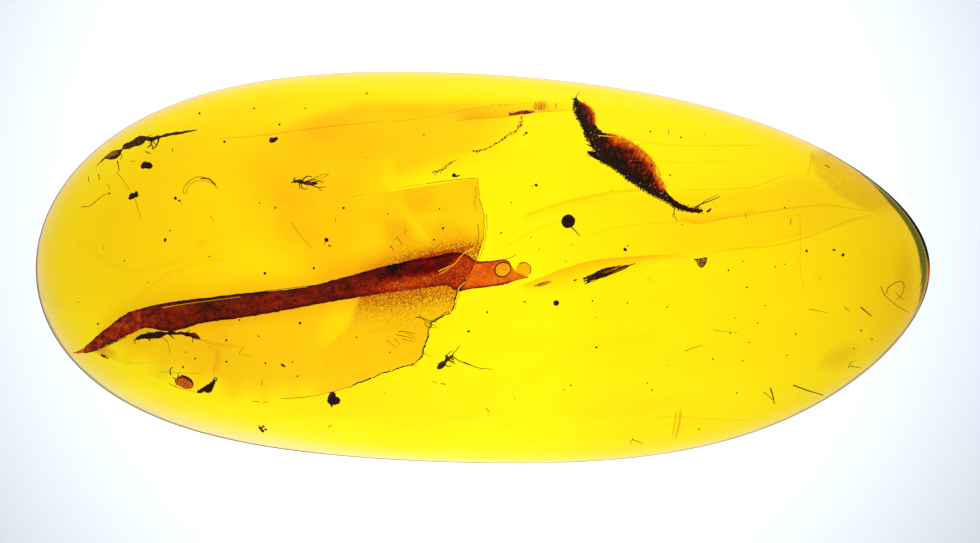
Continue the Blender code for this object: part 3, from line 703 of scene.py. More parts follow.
def crack():
    """The broad inner crack from the strip's tongue to the front, grainy where it crosses the strip."""
    left = [
        (-9.23, 4.02), (-9.23, 1.96), (-9.23, -1.06), (-9.23, -1.96), (-11.04, -1.96), (-14.66, -2.45),
        (-20.1, -2.93), (-23.96, -4.98),
    ]
    piece, _, _ = layer(left, CRACK_EDGE, 220, 100, CRACK_SHARE)
    x, y = seen(piece)
    over_strip, over_edge = above(x, y, STRIP_LINE), above(x, y, UPPER_EDGE)
    upper = 0.7 + spots(
        x, y, (0.26, -3.85, 4.15, 1, 0.75, 0), (0.26, -2, 2, 1, 0.8, 0), (0.22, -5, 1.8, 0.8, 1, 0),
        (-0.3, -4, 2.4, 1.7, 0.28, -0.93), (-0.2, -2.9, 3.05, 0.8, 0.32, 0), (-0.1, -1.2, 3.8, 0.6, 1.3, 0),
    )
    upper = (upper + 0.3 * ramp(1.4, 0.6, over_edge)) * ramp(-8.6, -5.9, x)
    # Below the strip a straight slanting line parts the sugary right side from the clearer left one
    slant = np.interp(y, (-5.1, -3.5, -1.7, 0), (-9.7, -8, -7.35, -5.6))
    sugary = ramp(-0.2, 0.2, x - slant)
    lower = 0.62 + 0.06 * ramp(-16, -8, x) + 0.06 * sugary
    lower += spots(x, y, (-0.3, -8.9, -3.3, 1.5, 0.8, 1)) * (1 - sugary)
    edge = np.array(CRACK_EDGE[25:])
    to_edge = np.min(np.hypot(x[:, None] - edge[:, 0], y[:, None] - edge[:, 1]), axis=1)
    soft = ramp(0.1, 1.7, to_edge)
    lower *= soft + (1 - soft) * ramp(-11.5, -8.5, x)
    depth = np.maximum(-above(x, y, LOWER_EDGE), 0)
    near = np.exp(-((depth / 0.9) ** 2))
    under = (near + 0.55 * np.exp(-((depth / 2.8) ** 2))) * sugary * (0.55 + 0.45 * ramp(-8.5, -4.5, x))
    paint(piece, "stain", np.where(over_strip > 0, upper, lower + 0.25 * near * sugary))
    over = 1.15 * np.exp(-((np.maximum(over_edge, 0) / 0.45) ** 2)) * ramp(-8.2, -4.5, x)
    cloud = spots(x, y, (0.14, -4.9, 1.9, 1.3, 1.3, 0), (0.1, -2.2, 2, 1.4, 1, 0)) + 0.1 * ramp(-7, -5.5, x)
    paint(piece, "grain", np.where(over_strip > 0.1, over + cloud, under))
    return piece


UPPER_EDGE = (
    (-23.42, -4.25), (-22.51, -3.53), (-21.37, -2.72), (-19.74, -2.27), (-17.92, -1.99), (-15.51, -1.72),
    (-12.55, -1.36), (-9.83, -1.03), (-7.29, -0.3), (-5, 0.27), (-2.94, 0.91), (-1.1, 1.26),
)
UPPER_WIDTHS = [-0.7, -1.2, -1.6, -1.8, -1.9, -1.9, -2, -2, -1.8, -1.5, -1.1, -0.6]
UPPER_GLOW = [0.9, 0.8, 0.75, 0.75, 0.8, 0.85, 0.95, 1.1, 1.1, 1, 0.8, 0.5]
LOWER_EDGE = (
    (-22.2, -4.45), (-19.6, -3.7), (-16.8, -3.33), (-14.1, -2.93), (-11, -2.4), (-8.5, -1.94), (-5.5, -1.52),
    (-2.16, -1.08),
)
LOWER_WIDTHS = [0.4, 0.6, 0.8, 1, 1.2, 1.5, 1.6, 1.2]
LOWER_GLOW = [0.5, 0.6, 0.7, 0.7, 0.8, 0.7, 0.6, 0.8]
LONG_LINE = ((2.2, -1.1), (3.46, -0.62), (4.9, -0.05), (6.6, 0.42), (8.6, 0.63), (10.8, 0.76), (12.9, 0.7))
# Along this line lies a band of painted shadow under the leaf's stalk
STALK_SHADOW_LINE = ((11.75, 2.85), (13, 2.62), (14.6, 2.92), (16.6, 3.35))


def end_haze():
    """The brown haze under the skin at the blunt upper right end, with a straight edge toward the middle."""
    left = [(19.7, 7), (19.7, 6.2), (20, 5.4), (21.2, 4.3), (23, 3.4), (24.6, 3)]
    right = [(20.3, 7.35), (21.5, 6.62), (22.8, 5.72), (24.1, 4.68), (25.1, 3.75), (25.6, 3.05)]
    piece, out, down = layer(left, right, 40, 30, 0.5)
    fade = ramp(0, 0.2, out) * ramp(0, 0.1, down) * ramp(0, 0.3, 1 - down)
    paint(piece, "stain", (0.34 + 0.1 * out) * fade)
    paint(piece, "grain", 0.22 * fade)
    return piece


def upper_right_flow_and_shadow():
    """A faint darker flow between the two long flow lines at right, and painted shadow under the stalk."""
    left = [(2.3, 3), (6.3, 4.2), (11.3, 4.6), (16.5, 4.9), (19.2, 5.7), (22.5, 3.6)]
    right = [(2.7, -0.9), (6, 0.3), (10.8, 0.7), (16.2, 1.2), (20.9, 2.3), (24.1, 3.2)]
    piece, out, down = layer(left, right, 80, 30, 0.7)
    x, _ = seen(piece)
    fade = ramp(0, 0.12, out) * ramp(0, 0.15, down) * ramp(0, 0.2, 1 - down)
    # Stronger right of the middle: painted shadow near the stalk on top of the flow's stain
    paint(piece, "stain", (0.1 + 0.16 * ramp(8, 12, x)) * fade)
    return piece


def wedge():
    """The slim darker wedge between two flow lines near the back. Its lower edge is the sharper one."""
    lower = [(-2, 8.75), (-0.3, 8.93), (1.2, 9.03), (3.16, 9.31), (4.7, 9.42), (6, 9.5)]
    upper = [(-2, 9.55), (-0.3, 9.66), (1.2, 9.78), (3.16, 9.92), (4.7, 10.05), (6, 10.1)]
    piece, out, down = layer(lower, upper, 60, 12, 0.6)
    stain = 0.75 * (1 - out) ** 0.7 * ramp(0, 0.15, down) * ramp(0, 0.35, 1 - down)
    paint(piece, "stain", stain + 0.3 * (out < 0.1) * ramp(0, 0.2, down) * ramp(0, 0.1, 1 - down))
    return piece


PATCHES = (
    # Middle, half width and height, share of the stone's height, strength, turn and grain
    (21.5, -5.4, 1.6, 0.9, 0.4, 0.24, 0.5, 0.18), (3.5, 9.75, 0.6, 0.4, 0.6, 1, 0, 0.25),
    (-16.9, 1.5, 0.45, 0.3, 0.5, 0.3), (10.05, -0.72, 0.35, 0.3, 0.5, 0.4),
    (-22.9, -5, 1.1, 0.45, 0.5, 0.9, -0.4, 0.3), (-16, -5.5, 0.3, 1, 0.5, 0.5),
    (25.4, -0.4, 0.7, 2.4, 0.4, 0.22, 0.05, 0.15),
)
FLOW_BANDS = (
    # Half width, share of the stone's height, strength, then the places x, y, x, y
    (0.05, 0.68, 0.8, -16.8, 7.7, -13.7, 7.92, -11.5, 8.2, -9.23, 8.5, -6.99, 8.72, -4.76, 8.9),
    (0.045, 0.64, 0.7, -6, 8.8, -4, 8.95, -0.3, 9.64, 1.2, 9.76, 2.9, 9.92, 5.2, 10.02),
    (0.12, 0.5, 0.55, 2.25, 2.95, 3.87, 3.6, 6.3, 4.25, 8.71, 4.62, 10.6, 4.62),
    (0.4, 0.5, 0.2, 2.25, 2.75, 3.87, 3.4, 6.3, 4.05, 8.71, 4.4),
    (0.045, 0.5, 0.7, 11.31, 4.65, 13.57, 4.7, 15.18, 4.73, 16.5, 4.9, 17.77, 5.38, 19.22, 5.71),
    (0.05, 0.6, 0.6, 9.2, 7.66, 11.31, 7.38, 13.57, 7.34, 15.66, 7.36, 17.5, 7.4),
    (0.045, 0.6, 0.45, 10.16, 6.45, 11.8, 6.34, 14.2, 6.37, 16.5, 6.3),
    (0.05, 0.5, 0.4, 5.97, 1.82, 8.4, 2.47, 10.66, 2.68, 13.57, 2.83),
    (0.07, 0.5, 0.6, 13.57, 2.79, 15.66, 3.12, 18.1, 3.52, 20.53, 3.76, 22.48, 3.52, 24.09, 3.28),
    (0.08, 0.45, 0.6, 12.76, 0.66, 14.55, 1.01, 16.17, 1.18, 17.62, 1.33, 19.24, 1.74, 20.85, 2.31,
     22.48, 2.95, 24.9, 3.36),
    (0.05, 0.5, 0.9, 19.89, 7.16, 19.7, 5.89, 19.4, 5.54),
    (0.05, 0.5, 0.5, 19.08, 3.44, 19.15, 1.66, 19.15, -0.27, 19.56, -2.22),
    (0.05, 0.4, 0.5, 10, -9.05, 11.95, -9.01, 13.57, -9.13, 15.18, -9.22, 16.8, -9.19),
    (0.6, 0.45, 0.1, 2.25, -6.8, 7.08, -4.68, 13.12, -3.78),
    (0.6, 0.45, 0.1, 4.67, -9.21, 9.5, -8.3, 15.54, -7.7), (0.35, 0.55, 0.12, -2.9, 5.9, 0.5, 6.6, 4.2, 7),
    (0.12, 0.5, 0.3, 1.04, 1.1, 4, 2.6, 6.6, 3.2), (0.085, 0.3, 1.5, 11.92, -8.5, 11.86, -9.4, 11.5, -10.8),
    (0.06, 0.3, 1.2, 11.64, -8.6, 11.6, -9.4, 11.32, -10.6),
    (0.3, 0.5, 0.12, -25, 2.2, -21.5, -0.2, -17.5, 0.6, -13.5, 0.9),
    (0.16, 0.5, 0.18, -21.3, -2.2, -19, -0.4, -16.5, 0.35, -13.8, 0.6),
)


def flow_layers():
    pieces = [
        upper_flow(),
        crack(),
        # The glow along the strip's upper edge, then along its lower one
        ledge(UPPER_EDGE, UPPER_WIDTHS, UPPER_GLOW, 0.42, behind=0.25),
        ledge(LOWER_EDGE, LOWER_WIDTHS, LOWER_GLOW, 0.4, behind=0.25),
        # The long flow line right of the strip's end, and a band of painted shadow under the leaf's stalk
        ledge(LONG_LINE, [0.5, 1.3, 1.9, 1.6, 1.1, 0.5, 0.3], [0.9, 1.1, 1.15, 1.1, 1.1, 0.9, 0.5], 0.45),
        ledge(STALK_SHADOW_LINE, [-0.5, -0.75, -0.6, -0.4], [0.75, 0.9, 0.6, 0.3], 0.52),
        end_haze(),
        upper_right_flow_and_shadow(),
        wedge(),
    ]
    pieces += [patch(*stain) for stain in PATCHES] + [band(*flow) for flow in FLOW_BANDS]
    return settle(*pieces)


# ---- The plants ----


def leaf_strip():
    """A long flat strip of leaf, pale and see-through at its torn right end, with a dark pointed tongue."""
    strip = rolled([
        (-24.77, -5.14, -24.77, -5.18), (-24.33, -4.98, -24.33, -5.19), (-23.98, -4.78, -23.95, -5.16),
        (-23.72, -4.53, -23.42, -5.04), (-23.12, -3.99, -22.82, -4.74), (-22.51, -3.53, -22.21, -4.47),
        (-21.97, -3.08, -21.61, -4.17), (-21.37, -2.72, -21.06, -3.93), (-20.58, -2.48, -20.34, -3.65),
        (-18.77, -2.08, -18.71, -3.84), (-16.84, -1.84, -16.84, -3.35), (-14.06, -1.51, -14.06, -2.96),
        (-11.04, -1.24, -11.04, -2.42), (-8.5, -0.63, -8.5, -1.96), (-6.21, 0, -6.21, -1.6),
        (-3.91, 0.52, -3.91, -1.3), (-2.94, 0.66, -2.94, -1.18), (-2.22, 0.85, -2.16, -1.09),
        (-1.62, 0.92, -1.56, -1.42), (-1.01, 0.8, -1.01, -1.36), (-0.45, 0.42, -0.41, -1.24),
        (0.38, 0.39, 0.38, -1.15), (1.16, 0.48, 1.16, -1.06), (1.59, 0.36, 1.71, -0.88),
        (1.77, 0.03, 2.13, -0.74), (2.07, -0.33, 2.55, -0.63), (2.61, -0.56, 2.73, -0.59),
    ], (0.3, 0.41, 0.68, 0.95, 1.34, 2.02, 2.47, 2.62, 2.68, 2.72, 2.74, 2.75), 360, 36, thick=0.3, most=0.2)
    tongue = rolled([
        (-5.2, 0.2, -4.6, -0.6), (-4.6, 0.38, -3.9, -0.5), (-3.91, 0.6, -3.2, -0.35),
        (-2.94, 0.91, -2.4, -0.12), (-2.22, 1.06, -1.85, 0.28), (-1.6, 1.16, -1.35, 0.66),
        (-1.05, 1.28, -0.9, 1.05), (-0.5, 1.36, -0.48, 1.33),
    ], (2.56, 2.88), 60, 16, thick=0.25)
    round_end = pellet((2.46, -0.13, 2.75), (0.92, 0.86, 0.16), 0, 1)
    (across,) = painted(strip, "across")
    for piece, rough in ((strip, 0.12), (tongue, 0.06)):
        roughen(piece, 0.16, rough, depth=4)
    x, y = seen(strip)
    past_tear = (x + 2.45) * 0.7 - (y + 0.1) * 0.71
    torn = ramp(0, 0.22, past_tear + 0.1 * noise_at(x, y, 3))
    skin = 0.37 + 0.1 * noise_at(x * 0.5, y, 0.9) + 0.08 * noise_at(x, y, 3.5, 4)
    skin += 0.22 * noise_at(x, y, 3, 9) * ramp(-16, -21, x)
    skin += 0.06 * ramp(-17.5, -21, x) + 0.12 * ramp(-22.3, -23.8, x) + 0.04 * ramp(-8, -4, x)
    skin += spots(x, y, (-0.16, -5.42, -0.15, 0.3, 0.6, 0), (0.14, -5.06, -1.2, 0.5, 0.35, 0))
    skin -= 0.12 * ramp(0.72, 0.95, np.abs(across)) * (x < -2)
    # Toward its torn end the lower half breaks up into grains
    low = ramp(0.25, -0.5, across + 0.3 * noise_at(x, y, 2.5, 6))
    dissolve = 0.4 * low * ramp(-8.5, -4.5, x) * (1 + 0.5 * noise_at(x, y, 5, 2))
    bubble = ramp(1.1, 0.9, np.hypot((x - 1.205) / 0.48, (y + 0.127) / 0.43))
    film = 0.735 + 0.02 * noise_at(x, y, 1.5, 7) + 0.08 * ramp(1.5, 1.9, x) + 0.2 * bubble
    film = film - 0.28 * ramp(0.8, 0.96, np.abs(across)) * (1 - bubble)
    thin = np.maximum(skin, np.minimum(skin + dissolve, 0.9)) * (1 - torn) + film * torn
    paint(strip, "thin", np.where(x < -24.05, 0.78, thin))
    x, y = seen(tongue)
    paint(tongue, "thin", 0.86 + 0.08 * ramp(-3.2, -1.4, x) + 0.12 * noise_at(x, y, 2))
    paint(round_end, "thin", 0.97)
    return settle(strip, tongue, round_end)


def strip_details():
    """The dark rims of the strip's bubbles, its dark upper edge and lower end edge."""
    turns = np.linspace(0, math.tau, 29)
    x = 1.205 + 0.48 * np.cos(turns) - 0.05 * np.sin(turns)
    y = -0.127 + 0.43 * np.sin(turns) + 0.09 * np.cos(turns)
    oval = np.column_stack([x, y, np.full(29, 2.86)])
    turns = np.linspace(-0.6, 4, 24)
    arc = np.column_stack([2.455 + 0.45 * np.cos(turns), -0.127 + 0.43 * np.sin(turns), np.full(24, 2.82)])
    rims = strands([
        (oval[:16], 0.032, 0.044), (oval[15:], 0.044, 0.032), (arc[:9], 0.026, 0.02),
        (arc[8:15], 0.024, 0.034),
    ])
    edges = threads([
        (0.02, *np.ravel(UPPER_EDGE[2:8])),
        (0.024, -1.5, -1.38, -0.77, -1.27, 0.48, -1.13, 1.92, -0.77, 2.76, -0.56),
        (0.018, -0.4, 0.22, 0.55, 0.38, 1.45, 0.53, 2.02, 0.76), (0.02, -1, 0.9, -0.72, 0.6, -0.45, 0.4),
        (0.028, -23.95, -4.76, -24.03, -4.92, -24.02, -5.1, -23.9, -5.17),
        (0.026, -24.05, -5.16, -23.3, -4.99, -22.3, -4.56, -21.5, -4.18),
        (0.028, -24, -4.8, -23.4, -4.3, -22.5, -3.56, -21.5, -2.84),
    ], 0.85, share=STRIP_RIM_SHARE)
    return settle(rims, edges)


def leaf_height(y):
    """The height of the curled leaf, which drops toward its tip."""
    return 1.1 + 1.3 * np.clip((10 - y) / 6, 0, 1)


def hair(x, y, height, turn, reach, radius):
    """The row of a short straight hair."""
    return radius, height, x, y, x + reach * math.cos(turn), y + reach * math.sin(turn)


def pale_tears():
    """Thin pale lines where the strip and the hairy leaf are torn, and pale grains that cling to the leaf."""
    tears = threads([
        (0.022, -2.66, -0.22, -2.2, -0.02, -1.71, 0.2, -1.21, 0.79, -0.45, 1.27),
        (0.016, -2.62, -0.42, -2.35, -0.26, -2, -0.06), (0.024, -1.51, -1.42, -1.41, -1.22, -1.05, -0.87),
        (0.01, -19.3, -2.42, -17.6, -2.15, -15.5, -1.88, -14.6, -1.76),
        (0.02, 6.96, 7.95, 8.2, 7.86, 9.42, 7.72), (0.014, 8.17, 7.64, 8.7, 7.6, 9.14, 7.52),
        (0.016, 8.65, 6.42, 9.4, 6.44, 10.28, 6.38),
    ], 0.6, share=TEAR_SHARE)
    draw = random.Random(51)
    edge = smooth_line(LEAF_LOWER, 240)
    grains = []
    for k in range(110):
        x, y = edge[draw.randint(60, 200)] + OVER_LEAF * draw.uniform(0.05, 1.3)
        if k > 100:
            x, y = draw.uniform(5.5, 5.72), draw.uniform(9.4, 9.75)
        size = draw.uniform(0.025, 0.05)
        grains.append(pellet((x, y, leaf_height(y) + 0.4), (size, size, size), 0.4, k, cuts=1))
    return settle(tears, *grains)


TOOTH = ((7.2, 6.72, 0.32), (6.85, 6.76, 0.24), (6.55, 6.86, 0.14), (6.28, 6.98, 0.05))
STALK_END = ((13.46, 3.36, 0.04), (13.56, 3.38, 0.07), (13.68, 3.48, 0.06), (13.76, 3.58, 0.03))


def hairy_leaf():
    """A leaf curled along its length, dense along its lower edge and see-through along its upper one."""
    blade = rolled([
        (5.57, 10.24, 5.51, 10.21), (5.87, 10.03, 5.48, 9.81), (6.3, 9.76, 5.54, 9.45),
        (6.6, 9.42, 5.69, 9.15), (6.72, 9.03, 5.87, 8.73), (6.78, 8.64, 6.12, 8.27), (6.99, 8.36, 6.24, 7.88),
        (7.32, 8.12, 6.48, 7.55), (7.87, 8, 6.72, 7.07), (8.53, 7.76, 7.02, 6.52), (9.14, 7.43, 7.44, 6.25),
        (9.62, 7.07, 7.93, 5.95), (10.04, 6.67, 8.41, 5.59), (10.34, 6.22, 8.89, 5.22),
        (10.49, 5.71, 9.38, 4.89), (10.71, 5.28, 9.86, 4.59), (10.95, 4.8, 10.34, 4.32),
        (11.19, 4.44, 10.83, 4.11), (11.49, 4.14, 11.25, 3.87), (11.85, 3.88, 11.67, 3.6),
        (12.34, 3.68, 12.22, 3.4), (12.75, 3.56, 12.7, 3.3), (13.1, 3.5, 13.08, 3.3),
        (13.26, 3.46, 13.26, 3.36),
    ], (1, 1.21, 1.51, 1.8, 2.05, 2.25, 2.39, 2.46, 2.46, 2.45), 300, 40, thick=0.43)
    across, along = painted(blade, "across", "along")
    roughen(blade, 0.16, 0.14, depth=4)
    x, y = seen(blade)
    # From the dense, folded lower left third to the thin right edge
    side = across + 0.3 * noise_at(x, y, 2.2, 1)
    body_part = ramp(0.28, 0.36, along) * ramp(0.76, 0.68, along)
    lit = 0.1 + 0.26 * ramp(-0.55, -0.1, side) + 0.62 * ramp(0.25, 0.95, side)
    tip_part = ramp(0, 0.04, along) * ramp(0.27, 0.18, along)
    tip_lit = 0.14 + 0.3 * ramp(-0.4, 0.3, side) + 0.3 * ramp(0.45, 1, side)
    stalk = 0.26 * ramp(0.8, 0.9, along)
    paint(blade, "thin", body_part * lit + tip_part * tip_lit + stalk + 0.08 * noise_at(x, y, 6, 3))
    teeth = [
        spindle(TOOTH, 1.75, 20, 12, 0.45),
        spindle([(6.8, 7.25, 0.14), (6.5, 7.34, 0.05), (6.22, 7.44, 0.02)], 1.75, 14, 8, 0.8),
        spindle([(6.8, 7.46, 0.1), (6.44, 7.6, 0.04), (6.16, 7.68, 0.02)], 1.75, 14, 8, 0.8),
        spindle(STALK_END, 2.45, 14, 8, 0.8),
    ]
    for tooth, thin in zip(teeth, (0.3, 0.4, 0.4, 0.2)):
        paint(tooth, "thin", thin)
        roughen(tooth, 0.12, 0.05)
    # Orange fuzz on the thin upper edge, and on the upper side of the tip
    draw = random.Random(77)
    rows = []
    upper_edge = (
        (7.6, 8.02, 1.8), (8.53, 7.74, 1.95), (9.62, 7.05, 2.1), (10.34, 6.2, 2.3), (10.71, 5.26, 2.4),
        (11, 4.75, 2.4),
    )
    for line in (upper_edge, ((6, 9.92, 1.1), (6.6, 9.42, 1.3), (6.78, 8.6, 1.5))):
        for x, y, z in smooth_line(line, 16 * len(line)):
            turn, reach = draw.uniform(0.5, 1.1), draw.uniform(0.06, 0.2)
            rows.append(hair(x, y, z, turn, reach, 0.022))
    fuzz = threads(rows, 0.45)
    paint(fuzz, "thin", 1)
    return settle(blade, *teeth, fuzz)


# From the leaf's lower edge to its upper one
OVER_LEAF = np.array((0.73, 0.68))
LEAF_LOWER = (
    (5.48, 9.81), (5.54, 9.45), (5.69, 9.15), (5.87, 8.73), (6.12, 8.27), (6.24, 7.88), (6.48, 7.55),
    (6.72, 7.07), (7.02, 6.52), (7.44, 6.25), (7.93, 5.95), (8.41, 5.59), (8.89, 5.22), (9.38, 4.89),
    (9.86, 4.59), (10.34, 4.32), (10.83, 4.11), (11.25, 3.87), (11.67, 3.62), (12.22, 3.44), (12.85, 3.35),
)


def leaf_hairs():
    """Short stiff hairs along the leaf's lower edge and round its tip, and longer ones laid over it."""
    draw = random.Random(4)
    edge = smooth_line(LEAF_LOWER, 240)
    out_x, out_y = -leftward(edge).T
    outward = np.arctan2(out_y, out_x)
    rows = []
    for (x, y), turn in zip(edge[2:237], outward[2:237]):
        turn, reach = turn + draw.uniform(-0.9, 0.9), draw.uniform(0.07, 0.18)
        rows.append(hair(x, y, leaf_height(y), turn, reach, draw.uniform(0.018, 0.034)))
    for _ in range(34):
        x, y = 5.52 + draw.uniform(0, 0.25), 10 + draw.uniform(-0.45, 0.22)
        rows.append(hair(x, y, leaf_height(y), draw.uniform(1.3, 3.9), draw.uniform(0.12, 0.34), 0.022))
    # Laid over the blade, from the dark edge toward the orange one
    for _ in range(110):
        x, y = edge[draw.randint(86, 167)] + OVER_LEAF * draw.uniform(0.1, 1.1)
        rows.append(hair(x, y, leaf_height(y) + 0.36, draw.uniform(0.6, 1.3), draw.uniform(0.2, 0.55), 0.018))
    # Along the stalk and the fuzzy spur
    for _ in range(60):
        along = draw.uniform(0, 1.6)
        x, y = 11.6 + along, 3.74 - 0.21 * along + draw.choice((-0.13, 0.13))
        rows.append(hair(x, y, leaf_height(y), draw.uniform(0, math.tau), draw.uniform(0.06, 0.14), 0.022))
    for _ in range(40):
        x, y = draw.uniform(6.3, 6.9), draw.uniform(6.66, 7)
        rows.append(hair(x, y, leaf_height(y), draw.uniform(1.8, 4.4), draw.uniform(0.06, 0.16), 0.018))
    # The spine at the tip, the fine second stalk above the hook, and the loop below the leaf's end
    rows += [
        (0.026, 1, 5.6, 10.15, 5.68, 10.38, 5.86, 10.62), (0.02, 2.4, 11.52, 3.3, 11.42, 3.1, 11.58, 2.98),
        (0.045, 2.45, 12.76, 3.58, 13, 3.74, 13.36, 3.9, 13.9, 4.1, 14.31, 4.3),
        (0.022, 2.45, 12.9, 3.62, 13.45, 4.05, 13.9, 4.24, 14.15, 4.42),
        (0.032, 2.4, 11.54, 3.6, 11.52, 3.3, 11.56, 3.1, 11.72, 2.78),
    ]
    return settle(threads(rows, 0.42))


# ---- The animals ----


def wasp_body():
    """A slender wasp: sting, see-through tail, narrow waist, dark trunk and a long rough feeler."""
    tail = spindle([
        (-23.38, 6.08, 0.01), (-23.1, 6.34, 0.03), (-22.84, 6.58, 0.05), (-22.73, 6.64, 0.09),
        (-22.51, 6.69, 0.2), (-22.24, 6.8, 0.26), (-22.03, 6.92, 0.2), (-21.85, 7.05, 0.09),
        (-21.76, 7.15, 0.04),
    ], (0.37, 0.47), 90, 20, thick=0.7)
    across, along = painted(tail, "across", "along")
    # Dense along the sides and at both ends: painted shade where the tail's curved edges bend the light away
    clear = ramp(-0.9, 0.1, across) * ramp(1, 0.8, across)
    paint(tail, "thin", 0.62 * clear * ramp(0.33, 0.42, along) * ramp(0.95, 0.7, along))
    trunk = spindle([
        (-21.78, 7.13, 0.03), (-21.61, 7.27, 0.16), (-21.4, 7.34, 0.2), (-21.2, 7.43, 0.19),
        (-21.05, 7.5, 0.21), (-20.8, 7.61, 0.27), (-20.55, 7.73, 0.25), (-20.34, 7.79, 0.13),
        (-20.1, 7.75, 0.14), (-19.85, 7.78, 0.11), (-19.6, 7.86, 0.12), (-19.4, 7.9, 0.07), (-19.07, 8, 0.1),
        (-18.8, 8.04, 0.07), (-18.55, 8.09, 0.1), (-18.2, 8.12, 0.07), (-17.9, 8.19, 0.07),
        (-17.6, 8.23, 0.05), (-17.26, 8.3, 0.03),
    ], (0.47, 0.58, 0.84), 220, 18, thick=0.7)
    across, along = painted(trunk, "across", "along")
    paint(trunk, "thin", 0.34 * ramp(0.95, 0.3, np.abs(across)) * ramp(0.7, 0.5, along))
    for piece in (tail, trunk):
        roughen(piece, 0.09, 0.05)
    limbs = threads([
        (0.072, 0.56, -19.95, 7.75, -20.02, 7.56, -20.04, 7.4, -20.24, 7.24),
        (0.051, 0.55, -20.04, 7.42, -19.92, 7.3, -19.96, 7.16),
        (0.058, 0.58, -19.55, 7.8, -19.62, 7.52, -19.74, 7.3, -19.95, 7.13),
        (0.043, 0.59, -19.75, 7.76, -19.9, 7.62, -19.8, 7.46, -19.64, 7.4),
        (0.043, 0.5, -20.36, 6.99, -20.2, 6.93, -20.04, 6.84),
        (0.029, 0.45, -21.95, 6.96, -21.78, 6.72, -21.9, 6.5),
        (0.029, 0.55, -20.3, 7.8, -20.12, 7.95, -19.96, 7.98), (0.029, 0.67, -19.3, 7.95, -19.1, 7.86),
        (0.029, 0.73, -18.6, 8.09, -18.42, 8.2),
    ], 0.48, 5)
    return settle(trunk, tail, limbs)


def midge_body():
    """A tiny midge from the side: bent feelers, dark head and chest, reddish belly and club tail."""
    body = spindle([
        (-11.44, 5.17, 0.03), (-11.3, 5.18, 0.1), (-11.18, 5.19, 0.08), (-11.04, 5.18, 0.13),
        (-10.9, 5.15, 0.12), (-10.8, 5.11, 0.08), (-10.66, 5.09, 0.12), (-10.48, 5.07, 0.13),
        (-10.34, 5.05, 0.09), (-10.22, 5.05, 0.09), (-10.05, 5.06, 0.08), (-9.93, 5.07, 0.03),
    ], (3.3, 3.33, 3.27), 90, 14, thick=0.89)
    (along,) = painted(body, "along")
    paint(body, "thin", 0.42 * ramp(0.5, 0.6, along) * ramp(0.82, 0.74, along))
    limbs = threads([
        (0.052, 3.31, -11.28, 5.17, -11.4, 5.15, -11.52, 5.08),
        (0.052, 3.33, -11.3, 5.22, -11.38, 5.3, -11.27, 5.42),
        (0.046, 3.24, -10.9, 5.2, -10.72, 5.4, -10.52, 5.5, -10.28, 5.46),
        (0.039, 3.23, -10.6, 5.14, -10.25, 5.27, -10, 5.32),
        (0.033, 3.22, -10.2, 5.12, -9.85, 5.22, -9.62, 5.06),
        (0.039, 3.21, -10.4, 5, -10.19, 4.92, -9.89, 4.82, -9.45, 4.86),
        (0.026, 3.16, -9.9, 4.82, -9.8, 4.7, -9.66, 4.6),
        (0.039, 3.24, -11.02, 5.12, -11.06, 4.95, -10.98, 4.71),
        (0.036, 3.2, -10.95, 5.1, -10.9, 4.85, -10.74, 4.71, -10.55, 4.8),
        (0.018, 3.4, -10.78, 5.14, -10.2, 5.36, -9.6, 5.6, -9.29, 5.59, -9.6, 5.42, -10.2, 5.22),
        (0.018, 3.39, -10.78, 5.1, -10.1, 5.16, -9.5, 5.22),
    ], 0.49, 4)
    return settle(body, limbs)


def gnat_body():
    """A small gnat on its side, with an oval belly, legs folded at the chest and one long trailing leg."""
    body = spindle([
        (-2.74, -6.1, 0.05), (-2.66, -6.04, 0.13), (-2.52, -5.92, 0.18), (-2.36, -5.77, 0.17),
        (-2.24, -5.65, 0.09), (-2.16, -5.55, 0.13), (-2.05, -5.46, 0.12), (-1.95, -5.4, 0.06),
        (-1.86, -5.35, 0.1), (-1.76, -5.31, 0.04),
    ], (2.3, 2.36, 2.34), 80, 16, thick=0.94)
    paint(body, "thin", 0)
    roughen(body, 0.08, 0.03)
    limbs = threads([
        (0.065, 2.29, -2.12, -5.5, -2.22, -5.36, -2.2, -5.24),
        (0.058, 2.29, -2.04, -5.52, -1.92, -5.66, -1.72, -5.68),
        (0.046, 2.29, -1.9, -5.45, -1.8, -5.58, -1.74, -5.46),
        (0.033, 2.28, -2.42, -5.86, -2.6, -5.78, -2.74, -5.76),
        (0.036, 2.27, -2.3, -5.82, -2.05, -5.98, -1.86, -5.86),
        (0.033, 2.37, -2.1, -5.46, -2.14, -5.3, -1.98, -5.1, -1.8, -5),
        (0.033, 2.4, -1.86, -5.34, -1.74, -5.14, -1.56, -4.94, -1.38, -4.7),
        (0.036, 2.23, -1.8, -5.36, -1.7, -5.44, -1.41, -5.62, -1.1, -5.76, -0.72, -5.9),
        (0.029, 2.09, -1.16, -5.7, -0.8, -5.84, -0.45, -5.99, -0.1, -6.08, 0.25, -6.1, 0.6, -6.15),
        (0.026, 2.25, -1.96, -5.6, -1.72, -5.8, -1.66, -5.72),
    ], 0.47, 4)
    return settle(body, limbs)


